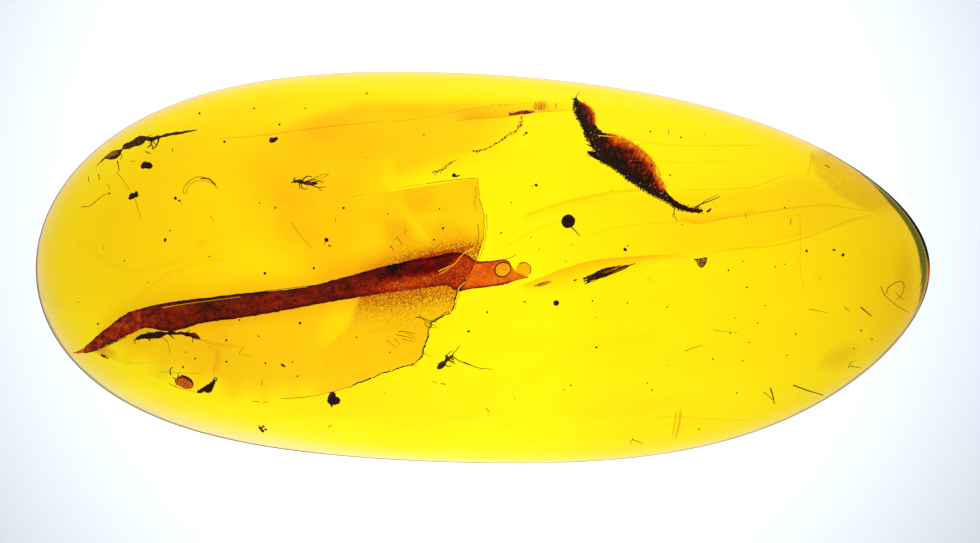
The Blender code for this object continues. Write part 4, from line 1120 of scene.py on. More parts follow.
def beetle_body():
    """A long thin beetle on its side below the strip, dark behind and red in front."""
    body = spindle([
        (-20.94, -4.34, 0.04), (-20.8, -4.27, 0.1), (-20.58, -4.17, 0.14), (-20.35, -4.14, 0.16),
        (-20.1, -4.11, 0.21), (-19.85, -4.1, 0.19), (-19.6, -4.07, 0.22), (-19.36, -4.02, 0.18),
        (-19.18, -3.99, 0.1), (-19.05, -3.97, 0.07), (-18.88, -3.96, 0.12), (-18.62, -3.95, 0.1),
        (-18.45, -3.98, 0.07), (-18.22, -3.95, 0.09), (-18.02, -3.99, 0.09), (-17.86, -4.02, 0.14),
        (-17.62, -4.05, 0.12), (-17.45, -4.09, 0.18), (-17.25, -4.18, 0.14), (-17.1, -4.27, 0.07),
        (-17, -4.33, 0.03),
    ], (1.5, 1.7), 200, 16, thick=0.79)
    x, _, _ = points_of(body).T
    paint(body, "thin", 0.46 * ramp(-18, -17.5, x) + 0.22 * (x < -20.2))
    roughen(body, 0.07, 0.08, depth=3)
    limbs = threads([
        (0.055, 1.53, -18.92, -3.98, -18.8, -4.12, -18.72, -4.2, -18.6, -4.3),
        (0.04, 1.61, -17.56, -4.1, -17.48, -4.3, -17.52, -4.52),
        (0.03, 1.61, -17.4, -4.16, -17.24, -4.32, -17.2, -4.4),
        (0.035, 1.48, -20.9, -4.32, -21.02, -4.46, -20.94, -4.6), (0.03, 1.49, -20.86, -4.3, -21.06, -4.32),
        (0.06, 1.49, -20.14, -4.18, -20.12, -4.34, -20.06, -4.42), (0.035, 1.53, -19.62, -4.18, -19.58, -4.3),
        (0.035, 1.63, -17.8, -3.98, -17.76, -3.86, -17.62, -3.8), (0.03, 1.64, -18.1, -3.96, -18.2, -3.84),
        (0.03, 1.63, -18.62, -3.92, -18.7, -3.82), (0.03, 1.57, -19.9, -4, -19.98, -3.9),
    ], 0.57, 5)
    return settle(body, limbs)


def mite_body():
    """A domed, ribbed mite, orange where light comes through, with a dark upper edge and short legs."""
    body = spindle([
        (-18.58, -6.84, 0.05), (-18.5, -6.86, 0.17), (-18.34, -6.86, 0.28), (-18.12, -6.87, 0.35),
        (-17.92, -6.94, 0.37), (-17.74, -7.05, 0.33), (-17.6, -7.16, 0.22), (-17.52, -7.26, 0.06),
    ], (0.92, 1, 0.95), 110, 30, thick=0.66)
    across, along = painted(body, "across", "along")
    place = points_of(body)
    ribs = 0.5 + 0.5 * np.cos(along * math.tau * 8.5)
    place[:, 2] = 0.97 + (place[:, 2] - 0.97) * (0.86 + 0.14 * ribs)
    place_points(body, place)
    x, y, _ = place.T
    glow = 0.72 - 0.22 * ribs + 0.35 * noise_at(x, y, 9)
    paint(body, "thin", glow * ramp(0.95, 0.35, across) * ramp(0, 0.12, along))
    limbs = threads([
        (0.035, 0.92, -18.4, -6.62, -18.34, -6.48, -18.4, -6.36),
        (0.035, 0.9, -18.52, -6.78, -18.62, -6.66, -18.74, -6.64),
        (0.045, 0.9, -18.8, -6.5, -18.86, -6.32, -18.82, -6.1, -18.7, -6.02),
        (0.03, 0.9, -18.84, -6.34, -18.92, -6.18), (0.03, 0.91, -18.45, -7.05, -18.55, -7.18),
        (0.018, 0.87, -18.95, -6.98, -18.5, -7.22, -17.95, -7.36, -17.34, -7.5),
        (0.035, 0.97, -18.2, -6.5, -17.95, -6.56, -17.7, -6.74, -17.52, -7.02),
    ], 0.57, 5)
    return settle(body, limbs)


# ---- Pellets, chips and fibres ----


def fibrous_splinter():
    """A splinter of bark that frays into strands at both ends."""
    core = spindle([
        (6.3, -0.74, 0.08), (6.6, -0.6, 0.17), (7, -0.44, 0.24), (7.4, -0.29, 0.26), (7.9, -0.14, 0.21),
        (8.4, 0, 0.15), (8.8, 0.12, 0.05),
    ], 2.73, 90, 18, thick=0.48)
    roughen(core, 0.1, 0.09, depth=3)
    x, y = seen(core)
    paint(core, "thin", 0.45 + 1 * noise_at(0.8 * x + 0.3 * y, 6 * y - 2.4 * x, 1))
    draw = random.Random(9)
    rows = [(0.05, 2.7, 6.06, -0.86, 6.5, -0.66, 7, -0.45), (0.06, 2.76, 8.2, -0.05, 8.8, 0.12, 9.2, 0.24)]
    for _ in range(26):
        start, reach, shift = draw.uniform(6, 7.6), draw.uniform(0.6, 1.5), draw.uniform(-0.2, 0.2)
        low, end = -0.8 + (start - 6.1) * 0.36 + shift, min(start + reach, 9.2)
        high = low + (end - start) * draw.uniform(0.3, 0.42)
        bend = (low + high) / 2 + draw.uniform(-0.03, 0.03)
        rows.append((0.035, 2.8, start, low, (start + end) / 2, bend, end, high - shift / 2))
    return settle(core, threads(rows, 0.4, 5))


def pale_sliver():
    piece = threads([
        (0.05, 2.6, 3.1, -1.12, 3.46, -1.03, 3.82, -0.94, 4.14, -0.86),
        (0.04, 2.6, 3.28, -1.02, 3.6, -0.92, 4.05, -0.8), (0.035, 2.6, 3.34, -1.14, 3.7, -1.05, 3.95, -0.96),
    ], 0.57, 5)
    paint(piece, "thin", 0.6)
    return settle(piece)


def debris_lump():
    """A ragged dark crumb with a tooth below and a notch above."""
    lump = rolled([
        (-9.1, -7.5, -8.98, -7.5), (-9.24, -7.62, -8.88, -7.62), (-9.28, -7.74, -8.8, -7.8),
        (-9.36, -7.92, -8.63, -7.86), (-9.33, -8.08, -8.6, -8.04), (-9.28, -8.2, -8.74, -8.24),
        (-9.22, -8.3, -9, -8.26), (-9.14, -8.42, -9.1, -8.42),
    ], 1.75, 80, 24, thick=0.59)
    roughen(lump, 0.12, 0.22, depth=3)
    x, y = seen(lump)
    paint(lump, "thin", 0.9 * noise_at(x, y, 8))
    return settle(lump)


def black_ball():
    ball = pellet((5.15, 2.78, 2.9), (0.84, 0.84, 0.8), 0.1, 8)
    tail = threads([(0.05, 2.75, 5.35, 2.42, 5.55, 2.22, 5.84, 1.9)], 0.6, 5)
    paint(ball, "thin", 0)
    paint(tail, "thin", 0.6)
    return settle(ball, tail)


def seed_coat():
    """A small pale seed coat, open at its top, with ribs that run down to its base and a darker rim."""
    coat = rolled([
        (12.72, 0.5, 13.46, 0.62), (12.84, 0.38, 13.5, 0.46), (12.9, 0.24, 13.47, 0.26),
        (12.98, 0.1, 13.36, 0.1), (13.1, -0.02, 13.22, -0.02),
    ], 2.35, 60, 28, thick=0.53)
    roughen(coat, 0.12, 0.05)
    across, along = painted(coat, "across", "along")
    ribs = np.cos(across * 14) * 0.2 + 0.5 * noise_at(8 * across, along, 1)
    edges = 0.5 * ramp(0.75, 0.95, np.abs(across)) + 0.3 * ramp(0.8, 1, along)
    paint(coat, "thin", 0.55 + ribs - edges)
    rim = threads([(0.03, 2.41, 12.7, 0.5, 13.05, 0.5, 13.42, 0.6, 13.52, 0.5)], 0.67, 5)
    paint(rim, "thin", 0.2)
    return settle(coat, rim)


def flake():
    """A curved flake seen on edge: two thin arcs that meet at the tips."""
    arcs = threads([
        (0.02, 1.9, -17.98, 4.4, -18.05, 4.7, -17.8, 5.08, -17.36, 5.4, -16.85, 5.44, -16.4, 5.22,
         -15.95, 4.74),
        (0.014, 1.9, -17.86, 4.42, -17.84, 4.72, -17.6, 5.02, -17.26, 5.22, -16.85, 5.26, -16.48, 5.14,
         -16.2, 5),
        (0.045, 1.94, -17, 5.36, -16.6, 5.36, -16.35, 5.22, -16.1, 4.96),
    ], 1.1, 5)
    paint(arcs, "thin", 0.45)
    return settle(arcs)


def crumb(seed, amount, *balls):
    """A crumb of uneven balls that are pressed together. Each ball holds its place and its size."""
    return settle(*[pellet(ball[:3], ball[3:], amount, seed + k) for k, ball in enumerate(balls)])


def crumbs_along(places, height, count, seed):
    """Small see-through crumbs strung along a line."""
    draw = random.Random(seed)
    crumbs = []
    for k, (x, y) in enumerate(smooth_line(places, count)):
        size = draw.uniform(0.06, 0.13)
        place = (x + draw.uniform(-0.1, 0.1), y + draw.uniform(-0.1, 0.1), height)
        grain = pellet(place, (size, 0.7 * size, 0.08), 0.6, k, turn=0.6, cuts=1)
        paint(grain, "thin", draw.choice((0.35, 0.5, 0.65, 0.8)))
        crumbs.append(grain)
    return crumbs


def crumbly_fibre():
    """A crumbling fibre at the edge of the upper flow."""
    places = [(-0.65, 7.01), (0.02, 7.1), (0.86, 7.49), (1.4, 7.88), (1.95, 8.21), (2.25, 8.55), (2.34, 9.05)]
    line = threads([(0.02, 2.36, *np.ravel(places))], 1)
    paint(line, "thin", 0.6)
    return settle(line, *crumbs_along(places, 2.36, 80, 12))


def short_fibre():
    line = threads([(0.03, 2.6, -2.1, 6.2, -1.8, 6.38, -1.5, 6.5)], 0.4)
    paint(line, "thin", 0.3)
    return settle(line, *crumbs_along([(-3.03, 5.67), (-2.52, 5.84), (-1.98, 6.28)], 2.6, 44, 13))


def bark_shred():
    """A red-brown shred of bark between two flow lines, frayed into fibres, and thin streaks beside it."""
    draw = random.Random(41)
    film = spindle([
        (1.55, 9.26, 0.02), (1.8, 9.25, 0.06), (2.15, 9.32, 0.11), (2.5, 9.36, 0.12), (2.85, 9.39, 0.08),
        (3.16, 9.42, 0.02),
    ], 1.5, 50, 14, thick=0.37)
    roughen(film, 0.1, 0.05, depth=3)
    paint(film, "thin", 0.66)
    rows = []
    for _ in range(24):
        x, reach = draw.uniform(1.5, 2.9), draw.uniform(0.1, 0.4)
        y = 9.24 + 0.1 * (x - 1.5) + draw.uniform(-0.1, 0.12)
        rows.append((0.026, 1.5, x, y, x + reach / 2, y + 0.03, x + reach, y + draw.uniform(-0.03, 0.06)))
    for x in (3.14, 3.24, 3.4, 3.52, 3.58, 3.72):
        rows.append((0.02, 1.45, x - 0.06, 9.5, x, 9.75, x + 0.04, draw.uniform(9.9, 10.1)))
    for x in (0.5, 0.95, 1.3):
        rows.append((0.012, 1.45, x, 9.74, x + 0.12, 9.84, x + 0.3, 9.78))
    fibres = threads(rows, 0.5, 5)
    paint(fibres, "thin", 0.42)
    dots = []
    for x, y, w in ((1.67, 9.25, 0.16), (2.64, 9.41, 0.18)):
        dots.append(pellet((x, y, 1.55), (w, 0.8 * w, 0.1), 0.5, 0, cuts=2))
        paint(dots[-1], "thin", 0.32)
    return settle(film, fibres, *dots)


def dark_chip():
    """A three-cornered chip with a small ring on its upper tip."""
    chip = rolled([
        (-17.28, -7.5, -17.26, -7.56), (-17.02, -7.31, -16.99, -7.58), (-16.84, -7.2, -16.8, -7.48),
        (-16.7, -7.12, -16.66, -7.56), (-16.47, -6.95, -16.38, -7.49), (-16.3, -6.84, -16.24, -7.2),
        (-16.22, -6.74, -16.16, -6.98), (-16.16, -6.74, -16.12, -6.86),
    ], 0.98, 80, 18, thick=0.57)
    roughen(chip, 0.09, 0.14, depth=3)
    x, y = seen(chip)
    paint(chip, "thin", 0.7 * noise_at(x, y, 9))
    turns = np.linspace(0, math.tau, 14)
    ring = np.column_stack([-16.14 + 0.1 * np.cos(turns), -6.74 + 0.1 * np.sin(turns), np.full(14, 0.98)])
    return settle(chip, strands([(ring, 0.035, 0.035)]))


SPECKS = (
    # Place and width
    (-8.38, 3.59, 0.13), (-12.49, 3.59, 0.1), (-13.45, 3.89, 0.08), (-1.74, 5.53, 0.24), (-3.55, 8, 0.09),
    (-9.41, 1.66, 0.22), (-9.23, 1.3, 0.1), (-10.17, -0.03, 0.13), (-13.12, -0.35, 0.15),
    (-11.01, -3.35, 0.16), (-14.66, -3.17, 0.1), (-12.06, -5.89, 0.14), (-11.16, -6.55, 0.1),
    (-11.46, -5.71, 0.08), (-13.09, -5.77, 0.1), (-13.51, -4.14, 0.08), (2.62, 8.1, 0.13), (2.48, 7.98, 0.08),
    (3.22, 4.95, 0.17), (1.71, 3.9, 0.08), (8.72, 1.3, 0.08), (8.57, 1.08, 0.18), (6.84, -4.8, 0.12),
    (6.6, -2.02, 0.09), (19.52, 1, 0.13), (21.16, 1.06, 0.13), (21.7, 0.76, 0.17), (-18.53, 4.16, 0.18),
    (-18.3, 4.02, 0.11), (-18.85, 2.22, 0.08), (-19.15, 1.66, 0.17), (-17.34, -5.49, 0.09),
    (-18.07, -6, 0.12), (-15.45, -4.39, 0.12), (-15.45, -5.68, 0.11), (-17.9, -5.1, 0.07),
    (-23.22, -3.39, 0.12), (-15.57, 7.58, 0.12), (-16.47, 0.66, 0.08), (10.1, 8.2, 0.1), (3.4, 1.1, 0.07),
    (5.3, -7.1, 0.08), (14.9, -3.95, 0.08), (17, -2.3, 0.07), (12, 2.6, 0.06), (10.2, 6.15, 0.13),
    (-12.25, 8.61, 0.12), (7.75, 4.6, 0.06), (9.92, -6.98, 0.07), (15.9, -1.2, 0.09), (18.2, 0.2, 0.07),
    (-7, 10.5, 0.09), (-2.4, 2.35, 0.13), (-5.6, -5.1, 0.07), (-7.6, -4.2, 0.08), (-17.1, 9.3, 0.1),
    (-13.8, 9.6, 0.09), (-0.86, -3.85, 0.15), (-2.61, 3.53, 0.08), (-5.72, 3.23, 0.08), (-2.94, 1.66, 0.1),
    (0.26, -2.69, 0.12), (2.55, -2.08, 0.07), (18.19, 3.6, 0.09), (14.79, -0.17, 0.1), (15.68, 0.37, 0.08),
    (17.62, 0.04, 0.08), (11.1, -2.39, 0.09), (16.56, -3.35, 0.08), (18.86, -4, 0.08), (16.05, -4.52, 0.07),
    (13.86, -5.51, 0.08), (18.35, -5.3, 0.07), (15.68, -5.62, 0.07), (15.19, -3.06, 0.07), (22.8, -3.81, 0.1),
    (23.48, -4.32, 0.09), (22.39, -4.89, 0.08), (10.18, -7.37, 0.08), (15.31, -7.56, 0.08),
    (13.06, -9.75, 0.08), (4.92, -7.37, 0.07), (11.28, 5.57, 0.1), (11.96, 7.84, 0.09), (8.71, -2.14, 0.08),
    (2.49, -2.06, 0.08), (2.9, 1.82, 0.07), (5, 0.37, 0.07), (1.1, 2.08, 0.09), (-21.6, 0.4, 0.08),
    (-24.4, -2.1, 0.07), (-10.7, 9.6, 0.08),
)
DASHES = (
    # Middle, length, slant in degrees and half width
    (20.77, 6.11, 0.35, 150, 0.03), (15.84, 3.12, 0.3, 95, 0.02), (18.56, 2.79, 0.42, 85, 0.02),
    (5.57, -0.77, 0.2, 20, 0.05), (-4.64, 2.14, 0.3, 60, 0.02), (-5.18, 1.78, 0.3, 50, 0.02),
    (-2.95, -6.9, 0.35, 165, 0.02), (-2.4, -7.03, 0.3, 170, 0.03), (-8.88, 2.89, 0.3, 100, 0.015),
    (-13.32, -6.9, 0.35, 85, 0.02), (-13.7, -8.1, 0.45, 178, 0.018), (-13.1, -8.14, 0.35, 8, 0.018),
    (-9.2, -9.57, 0.3, 30, 0.02), (-12.05, -5.9, 0.32, 145, 0.06), (-1.5, 5.5, 0.3, 12, 0.05),
    (-9.5, 1.52, 0.28, 70, 0.02), (5.33, 1.34, 0.25, 30, 0.012), (6.84, -3.03, 0.22, 160, 0.012),
    (13.4, 8.05, 0.3, 90, 0.012), (3, 4.9, 0.18, 40, 0.02), (-5.9, -7.6, 0.25, 15, 0.015),
    (1.9, -7.9, 0.2, 130, 0.012), (11.2, -5.9, 0.22, 20, 0.012), (20.3, -0.6, 0.2, 60, 0.012),
    (-22.9, 1.2, 0.25, 100, 0.012), (-20.2, -0.9, 0.22, 30, 0.012), (-7.1, 6.6, 0.22, 150, 0.012),
)


def specks():
    """Dust that was trapped with the rest: dark crumbs a tenth of a millimetre wide, and short threads."""
    crumbs = [
        pellet((x, y, CRUMB_SHARE * dome_height(x, y)), (1.45 * w, 1.2 * w, 0.9 * w), 0.5, k, turn=k, cuts=1)
        for k, (x, y, w) in enumerate(SPECKS)
    ]
    rows = []
    for x, y, reach, slant, half in DASHES:
        a, b = 0.5 * reach * math.cos(math.radians(slant)), 0.5 * reach * math.sin(math.radians(slant))
        rows.append((half, DASH_SHARE * dome_height(x, y), x - a, y - b, x + 0.01, y + 0.02, x + a, y + b))
    return settle(*crumbs, threads(rows, 0.6))


def brown_crumbs():
    """Brown crumbs in the thin front edge."""
    places = (
        (-13.42, -9.7, 0.24), (-13.26, -9.6, 0.2), (-13.3, -9.86, 0.22), (-13.1, -9.78, 0.16),
        (-13.52, -9.56, 0.1), (-22.98, -5.3, 0.18), (-22.82, -5.36, 0.22), (-22.66, -5.46, 0.14),
    )
    crumbs = []
    for k, (x, y, w) in enumerate(places):
        crumbs.append(pellet((x, y, 0.6), (w, 0.8 * w, 0.6 * w), 0.7, k + 60, turn=-0.5, cuts=2))
        paint(crumbs[k], "thin", (0.5, 0.7, 0.4)[k % 3])
    return settle(*crumbs)


def fine_hairs():
    """Loose hairs, feelers and scratches through the stone."""
    return settle(threads([
        (0.035, -22.06, 6.43, -21.98, 6.1, -21.94, 5.82), (0.016, -22.1, 5.77, -21.76, 5.34, -21.28, 4.65),
        (0.016, -20.96, 4.15, -20.78, 3.5, -20.58, 2.96), (0.03, -23.19, 5.62, -23.16, 5.46, -23.14, 5.29),
        (0.022, -23.8, 5.47, -23.8, 5.3, -23.74, 5.08), (0.014, -22.7, 5.03, -22.5, 4.8, -22.5, 4.66),
        (0.022, -24.24, 3.65, -23.75, 3.7, -23.38, 3.96, -22.94, 4.32, -22.57, 4.49),
        (0.045, -22.57, 4.49, -22.45, 4.44), (0.022, -18.7, 7.2, -18.72, 7.05, -18.66, 6.95),
        (0.014, -21.25, 6.45, -21.1, 6.38, -20.95, 6.44), (0.014, -16.47, 3.09, -16.3, 2.95, -16.2, 2.7),
        (0.014, -18.25, 4.1, -18.15, 3.8), (0.016, -20.3, -3.85, -19.19, -4.3, -18.93, -4.74, -18.9, -5.22),
        (0.008, -16.9, -4.38, -16.37, -4.6, -15.83, -4.72, -15.2, -4.86),
        (0.006, -17, -4.35, -16.2, -4.52, -15.4, -4.66, -14.4, -4.82), (0.008, -16.6, -4.6, -16.3, -4.98),
        (0.018, -14.66, -5.2, -14.6, -5, -14.4, -4.82), (0.01, -14.5, -5.26, -14.2, -5.28, -13.96, -5.36),
        (0.01, -19.44, -6.3, -18.2, -6.36, -16.9, -6.41), (0.01, -16.2, -5.9, -16.2, -6.5),
        (0.018, -3.61, -5.13, -3.4, -5.24, -3.16, -5.38), (0.018, -4.33, -5.77, -4.1, -5.9, -3.97, -5.98),
        (0.022, -5.1, 1.75, -5, 1.6, -4.85, 1.35), (0.026, -5.6, 1.3, -5.45, 1.15, -5.35, 1.02),
        (0.012, -11.55, 2.72, -10.9, 1.83, -10.25, 1.18),
        (0.022, 24.34, -1.58, 24.49, -1.17, 25.06, -0.85, 25.38, -0.93, 25.38, -1.41, 25.14, -1.82,
         24.9, -1.98),
        (0.022, 24.01, -1.12, 24.25, -1.66, 24.99, -2.3, 25.71, -2.71),
        (0.016, 24.9, -1.5, 25.2, -1.8, 25.44, -1.98), (0.04, 22.79, -2.39, 23.1, -2.65, 23.45, -2.93),
        (0.022, 21.82, -2.39, 21.95, -2.5, 22.12, -2.63), (0.016, 19.65, -2.51, 20.2, -2.6, 20.79, -2.75),
        (0.022, 22.06, -6.07, 22.15, -5.85, 22.3, -5.65), (0.022, 22.18, -5.95, 22.5, -6, 22.85, -6.07),
        (0.04, 18.74, -7.1, 19.6, -7.42, 20.55, -7.7), (0.044, 17.35, -7.28, 17.5, -7.75, 17.59, -8.24),
        (0.022, 16.9, -7.5, 17.2, -7.7, 17.5, -8), (0.02, 12.16, -5.04, 12.7, -4.85, 13.24, -4.68),
        (0.012, 13.9, -3.76, 14.6, -3.86, 15.36, -3.92), (0.022, 9, -10.36, 9.35, -10.5, 9.68, -10.64),
        (0.018, 8.9, -10.6, 9.05, -10.3), (0.022, 0.2, -8.45, 0.3, -8.6, 0.42, -8.75),
        (0.02, 11.2, 8.3, 11.2, 8.15, 11.18, 7.98), (0.022, 4.4, 9.9, 4.42, 9.7, 4.4, 9.55),
    ], 0.62, share=HAIR_SHARE))


def crack_rim():
    """The broken edge of the inner crack: a thin wavering dark line with small beads and gaps."""
    draw = random.Random(17)
    line = np.array(CRACK_EDGE[:29])
    path = between(line, np.linspace(0, 1, 578))
    sway = np.cumsum([draw.uniform(-1, 1) for _ in path])
    sway -= np.convolve(sway, np.ones(31) / 31, mode="same")
    side = leftward(path)
    path = path + side * (0.022 * np.clip(sway, -4, 4))[:, None]
    path = lifted(path, CRACK_SHARE)
    runs = []
    at = 0
    while at < len(path) - 6:
        end = min(at + draw.randint(5, 26), len(path) - 1)
        # The upper right side and the far left are finer and more broken than the rest
        fine = 1 if 170 <= at < 500 else 0.5
        run = path[at : end + 1 : 2]
        if len(run) > 2:
            width = draw.uniform(0.022, 0.046) * fine
            runs.append((run, width, draw.uniform(0.6, 1) * width))
        at = end if draw.random() < 0.72 else end + draw.randint(1, 5)
    # A second wavering line just inside the right side, and one below the first bend
    for first, last, shift in ((60, 150, -0.14), (170, 250, -0.12), (268, 350, 0.1)):
        inner = path[first:last:3].copy()
        inner[:, :2] -= side[first:last:3] * (shift + 0.03 * np.sin(np.arange(first, last, 3) / 7))[:, None]
        runs.append((inner, 0.016, 0.01))
    beads = []
    for k in [draw.randint(300, 470) for _ in range(26)] + [draw.randint(150, 300) for _ in range(10)]:
        size = (draw.uniform(0.08, 0.17), draw.uniform(0.07, 0.13), 0.08)
        beads.append(pellet(path[k], size, 0.6, k, cuts=1))
    top = ((-7.9, 4.26), (-6.1, 4.55), (-4.64, 4.88), (-3.13, 5.08), (-1.61, 5.28), (-0.31, 5.38))
    top = lifted(smooth_line(top, 40), CRACK_SHARE)
    for first, last, width in ((0, 12, 0.006), (13, 22, 0.008), (22, 39, 0.015)):
        runs.append((top[first:last:2], width, width))
    frayed = threads([
        (0.022, 2.5, -5.1, -3.85, -4.6, -3.88, -4.1, -4), (0.02, 2.5, -5.2, -4.05, -4.7, -4.15, -4.2, -4.3),
        (0.016, 2.5, -4.9, -4.3, -4.5, -4.4, -4.05, -4.45),
        (0.026, 2.6, -4.05, -3, -3.64, -3.05, -3.2, -3.2, -2.7, -3.3),
        (0.022, 2.6, -3.85, -2.86, -3.6, -3.1, -3.3, -3.3, -2.75, -3.55),
        (0.022, 2.6, -3.5, -3.3, -3.3, -3.6, -2.7, -3.64), (0.016, 2.4, -5.8, -4.35, -5.5, -4.6, -5.2, -4.85),
        (0.014, 2.4, -5.3, -4.3, -5.1, -4.5, -5, -4.7), (0.014, 2.4, -4.6, -3.95, -4.3, -4.1, -4, -4.35),
        (0.014, 3.4, -0.45, 4.9, -0.4, 4.4, -0.5, 3.9, -0.35, 3.4),
        (0.018, 3.4, -0.3, 2.6, -0.25, 1.9, -0.4, 1.1),
        (0.005, 1, -23.3, -4.99, -21.97, -5.6, -20.7, -5.78, -19.74, -5.66),
    ], 0.62)
    return settle(strands(runs, sides=4), frayed, *beads)


# ---- The stage ----


GLOW_PLACE = (-0.3 * MM, 3.4 * MM, 0)
GLOW_RADIUS = 43 * MM
GLOW_MIDDLE = 1.36
GLOW_LEAST = 0.6
GLOW_FALL = 2.2
TABLE_COLOUR = (1, 1.08, 1.18, 1)
MIRRORED = 0.78
CAMERA_HEIGHT = 1.2
SENSOR = 36
VIEW_WIDTH = 0.05919
VIEW_SHIFT_X = 0.000435
VIEW_SHIFT_Y = -0.000242
CAMERA_REACH = 50
LAMP_PLACE = (-0.9, 1.2, 1.6)
LAMP_SIZE = 1.2
LAMP_POWER = 0.4
TABLE_SIZE = 8
TABLE_DEPTH = 0.2 * MM
SKY_ABOVE = 0.4
SKY_AT_HORIZON = 0.8


def dim_in_gloss(tree, level):
    """The level, much dimmer where a glossy surface mirrors it, as under a camera's dark hood."""
    path = node(tree, "LightPath").outputs
    rays = [(path["Is Glossy Ray"], 0), (path["Is Reflection Ray"], 1)]
    mirror = node(tree, "Math", rays, operation="MULTIPLY")
    dimmed = node(tree, "Math", [(mirror, 0)], operation="MULTIPLY", in_1=MIRRORED)
    share = node(tree, "Math", [(dimmed, 1)], operation="SUBTRACT", in_0=1)
    return node(tree, "Math", [(level, 0), (share, 1)], operation="MULTIPLY")


def light_table():
    """A large pale panel, lit from below, that is brightest under the stone."""
    select()
    bpy.ops.mesh.primitive_plane_add(size=TABLE_SIZE, location=(0, 0, -TABLE_DEPTH))
    table = bpy.context.object
    table.name = "light_table"
    made, tree = new_material("glowing pale acrylic panel")
    place = node(tree, "TexCoord").outputs["Object"]
    away = node(tree, "VectorMath", [(place, 0)], operation="DISTANCE", in_1=GLOW_PLACE)
    share = node(tree, "Math", [(away, 0)], operation="DIVIDE", in_1=GLOW_RADIUS)
    power = node(tree, "Math", [(share, 0)], operation="POWER", in_1=GLOW_FALL)
    fall = node(tree, "Math", [(power, 0)], operation="MULTIPLY", in_1=-1)
    bell = node(tree, "Math", [(fall, 0)], operation="EXPONENT")
    level = node(tree, "Math", [(bell, 0)], operation="MULTIPLY", in_1=GLOW_MIDDLE)
    least = node(tree, "Math", [(level, 0)], operation="MAXIMUM", in_1=GLOW_LEAST)
    lit = node(tree, "Emission", [(dim_in_gloss(tree, least), "Strength")], in_Color=TABLE_COLOUR)
    node(tree, "OutputMaterial", [(lit, "Surface")])
    table.data.materials.append(made)


def studio():
    """A camera straight above, a dim sky that is paler at the horizon, and one weak soft lamp."""
    scene = bpy.context.scene
    scene.view_settings.view_transform = "Standard"
    camera = bpy.data.objects.new("camera", bpy.data.cameras.new("camera"))
    scene.collection.objects.link(camera)
    camera.location = (VIEW_SHIFT_X, VIEW_SHIFT_Y, CAMERA_HEIGHT)
    camera.data.sensor_width = SENSOR
    camera.data.lens = SENSOR * CAMERA_HEIGHT / VIEW_WIDTH
    camera.data.clip_end = CAMERA_REACH
    scene.camera = camera

    scene.world = bpy.data.worlds.new("studio")
    scene.world.use_nodes = True
    tree = scene.world.node_tree
    tree.nodes.clear()
    place = node(tree, "TexCoord").outputs["Generated"]
    height = node(tree, "SeparateXYZ", [(place, 0)]).outputs["Z"]
    pale = node(tree, "MapRange", [(height, 0)], in_1=0, in_2=0.9, in_3=SKY_AT_HORIZON, in_4=SKY_ABOVE)
    back = node(tree, "Background", [(dim_in_gloss(tree, pale), "Strength")], in_Color=WHITE)
    node(tree, "OutputWorld", [(back, "Surface")])

    lamp = bpy.data.lights.new("soft lamp", "AREA")
    lamp.shape = "DISK"
    lamp.size = LAMP_SIZE
    lamp.energy = LAMP_POWER
    holder = bpy.data.objects.new("soft lamp", lamp)
    scene.collection.objects.link(holder)
    holder.visible_glossy = False
    holder.location = LAMP_PLACE
    holder.rotation_euler = (-holder.location).to_track_quat("-Z", "Y").to_euler()


# ---- Everything together ----

studio()
light_table()

# The light that crosses one face of each skin, from dense to thinnest
STRIP_GLOW = ("#5A3028", "#A55F55", "#CB7258", "#F2A880", "#FAE7CB")
FIBRE_GLOW = ("#5A4020", "#A08050", "#C8A068", "#ECCC94", "#FFF2D0")
CRUMB_GLOW = ("#3A1E10", "#804830", "#B07048", "#E0A070", "#FFE0B0")
MITE_GLOW = ("#5A2810", "#B07040", "#DC9858", "#F0B870", "#FFE8C0")
CHITIN_GLOW = ("#4A3420", "#98703C", "#C49858", "#E4BC80", "#FFE8C8")
LEAF_GLOW = ("#3E2820", "#7E3A30", "#B4584A", "#DC8C64", "#F6C68C")

# The balls that each dark crumb is made of, with their places and sizes
SMALL = (4.42, -2.14, 2.6, 0.36, 0.34, 0.34)
DOMED = (
    (-20.3, 6.17, 1.05, 0.64, 0.42, 0.4), (-20.08, 6.12, 1.04, 0.34, 0.34, 0.34),
    (-20.5, 6.04, 1.04, 0.26, 0.18, 0.24),
)
ROUGH = (
    (-21.14, 4.3, 1.15, 0.4, 0.36, 0.34), (-20.94, 4.36, 1.15, 0.32, 0.3, 0.3),
    (-21.28, 4.18, 1.15, 0.2, 0.18, 0.2), (-20.9, 4.52, 1.15, 0.16, 0.16, 0.16),
)
NOTCHED = ((-12.68, 7.66, 1.9, 0.4, 0.32, 0.32), (-12.46, 7.76, 1.9, 0.22, 0.24, 0.24))

strip_skin = tissue("red-brown leaf tissue", "#1A0500", "#7A2008", STRIP_GLOW, 0.1, 2, cover=0.93, broken=0.1)
leaf_skin = tissue("dark leaf tissue", "#0A0C06", "#5A3A14", LEAF_GLOW, 0.045, 3, 1.2, 0.95, broken=0.28)
chitin = tissue("olive-brown chitin", "#2A200C", "#7E6A34", CHITIN_GLOW, 0.05, cover=0.85, roughness=0.4)
mite_skin = tissue("orange mite cuticle", "#3A0C02", "#B04010", MITE_GLOW, 0.05, roughness=0.4, broken=0.1)
crumb_skin = tissue("dark resin-soaked crumb", "#160504", "#5A2010", CRUMB_GLOW, 0.07, cover=0.8)
fibre_skin = tissue("stained plant fibre", "#3A2406", "#7A5A18", FIBRE_GLOW, 0.06, cover=0.8)
hair_skin = tissue("dark hair", "#140A02", "#4A2E0C", CRUMB_GLOW, 0.08, cover=0.6)
tear_glow = torn_edge_glow()

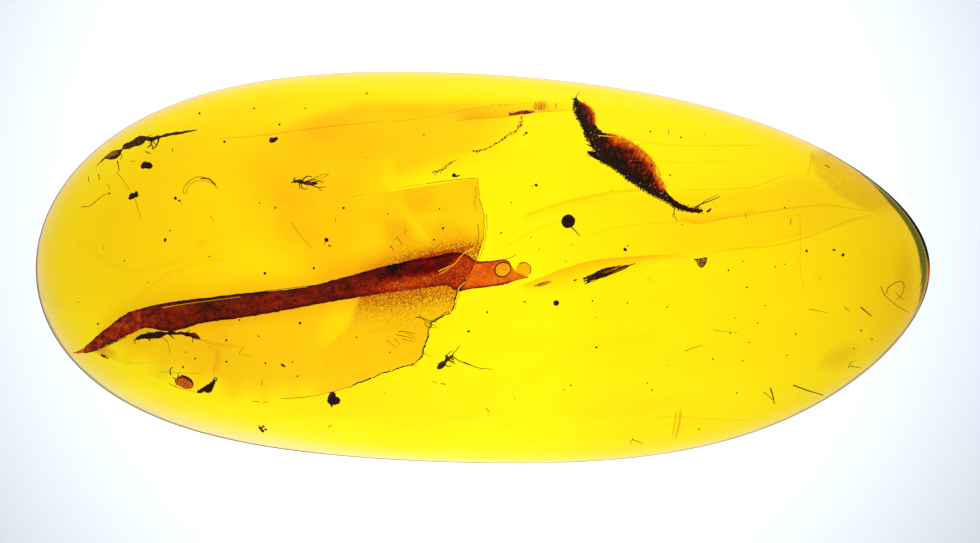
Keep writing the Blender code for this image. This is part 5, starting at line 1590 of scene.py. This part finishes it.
finish(polished_stone(), "amber_stone", amber(), "amber", "amber_upper", "amber_lower")
finish(flow_layers(), "flow_layers", amber_layer(), "amber")
finish(crack_rim(), "crack_rim", hair_skin, "amber")
finish(leaf_strip(), "leaf_strip", strip_skin, "red_plant", "plant_strip")
finish(strip_details(), "strip_rims", hair_skin, "red_plant")
# The tears and the grains on the leaf glow with painted light
finish(pale_tears(), "pale_tears", tear_glow, "pale_plant")
finish(hairy_leaf(), "hairy_leaf", leaf_skin, "dark_plant", "curled_leaf")
finish(leaf_hairs(), "leaf_hairs", hair_skin, "dark_plant")
finish(wasp_body(), "wasp_body", chitin, "chitin", "slender_wasp")
finish(midge_body(), "midge_body", chitin, "chitin", "midge")
finish(gnat_body(), "gnat_body", chitin, "chitin", "gnat")
finish(beetle_body(), "beetle_body", crumb_skin, "chitin", "slender_beetle")
finish(mite_body(), "mite_body", mite_skin, "red_chitin", "mite")
finish(dark_chip(), "dark_chip", crumb_skin, "dark_plant", "leaf_chip")
finish(debris_lump(), "debris_lump", crumb_skin, "dark_plant", "dark_debris")
finish(black_ball(), "black_ball", crumb_skin, "dark_plant", "round_pellet")
finish(crumb(9, 0.12, SMALL), "small_ball", crumb_skin, "dark_plant", "small_pellet")
finish(crumb(10, 0.28, *DOMED), "dome_crumb", crumb_skin, "dark_plant", "domed_pellet")
finish(crumb(13, 0.66, *ROUGH), "rough_crumb", crumb_skin, "dark_plant", "rough_pellet")
finish(crumb(17, 0.33, *NOTCHED), "notched_crumb", crumb_skin, "dark_plant", "notched_pellet")
finish(fibrous_splinter(), "fibrous_splinter", fibre_skin, "dark_plant", "bark_splinter")
finish(pale_sliver(), "pale_sliver", fibre_skin, "pale_plant", "bark_sliver")
finish(seed_coat(), "seed_coat", fibre_skin, "pale_plant", "cup_seed")
finish(flake(), "thin_flake", fibre_skin, "pale_plant", "crescent_flake")
finish(crumbly_fibre(), "crumbly_fibre", fibre_skin, "pale_plant", "fibre_long")
finish(short_fibre(), "short_fibre", fibre_skin, "pale_plant", "fibre_short")
finish(bark_shred(), "bark_shred", strip_skin, "red_plant", "bark_fleck")
finish(specks(), "specks", crumb_skin, "dark_plant")
finish(brown_crumbs(), "brown_crumbs", crumb_skin, "dark_plant")
finish(fine_hairs(), "fine_hairs", hair_skin, "chitin")
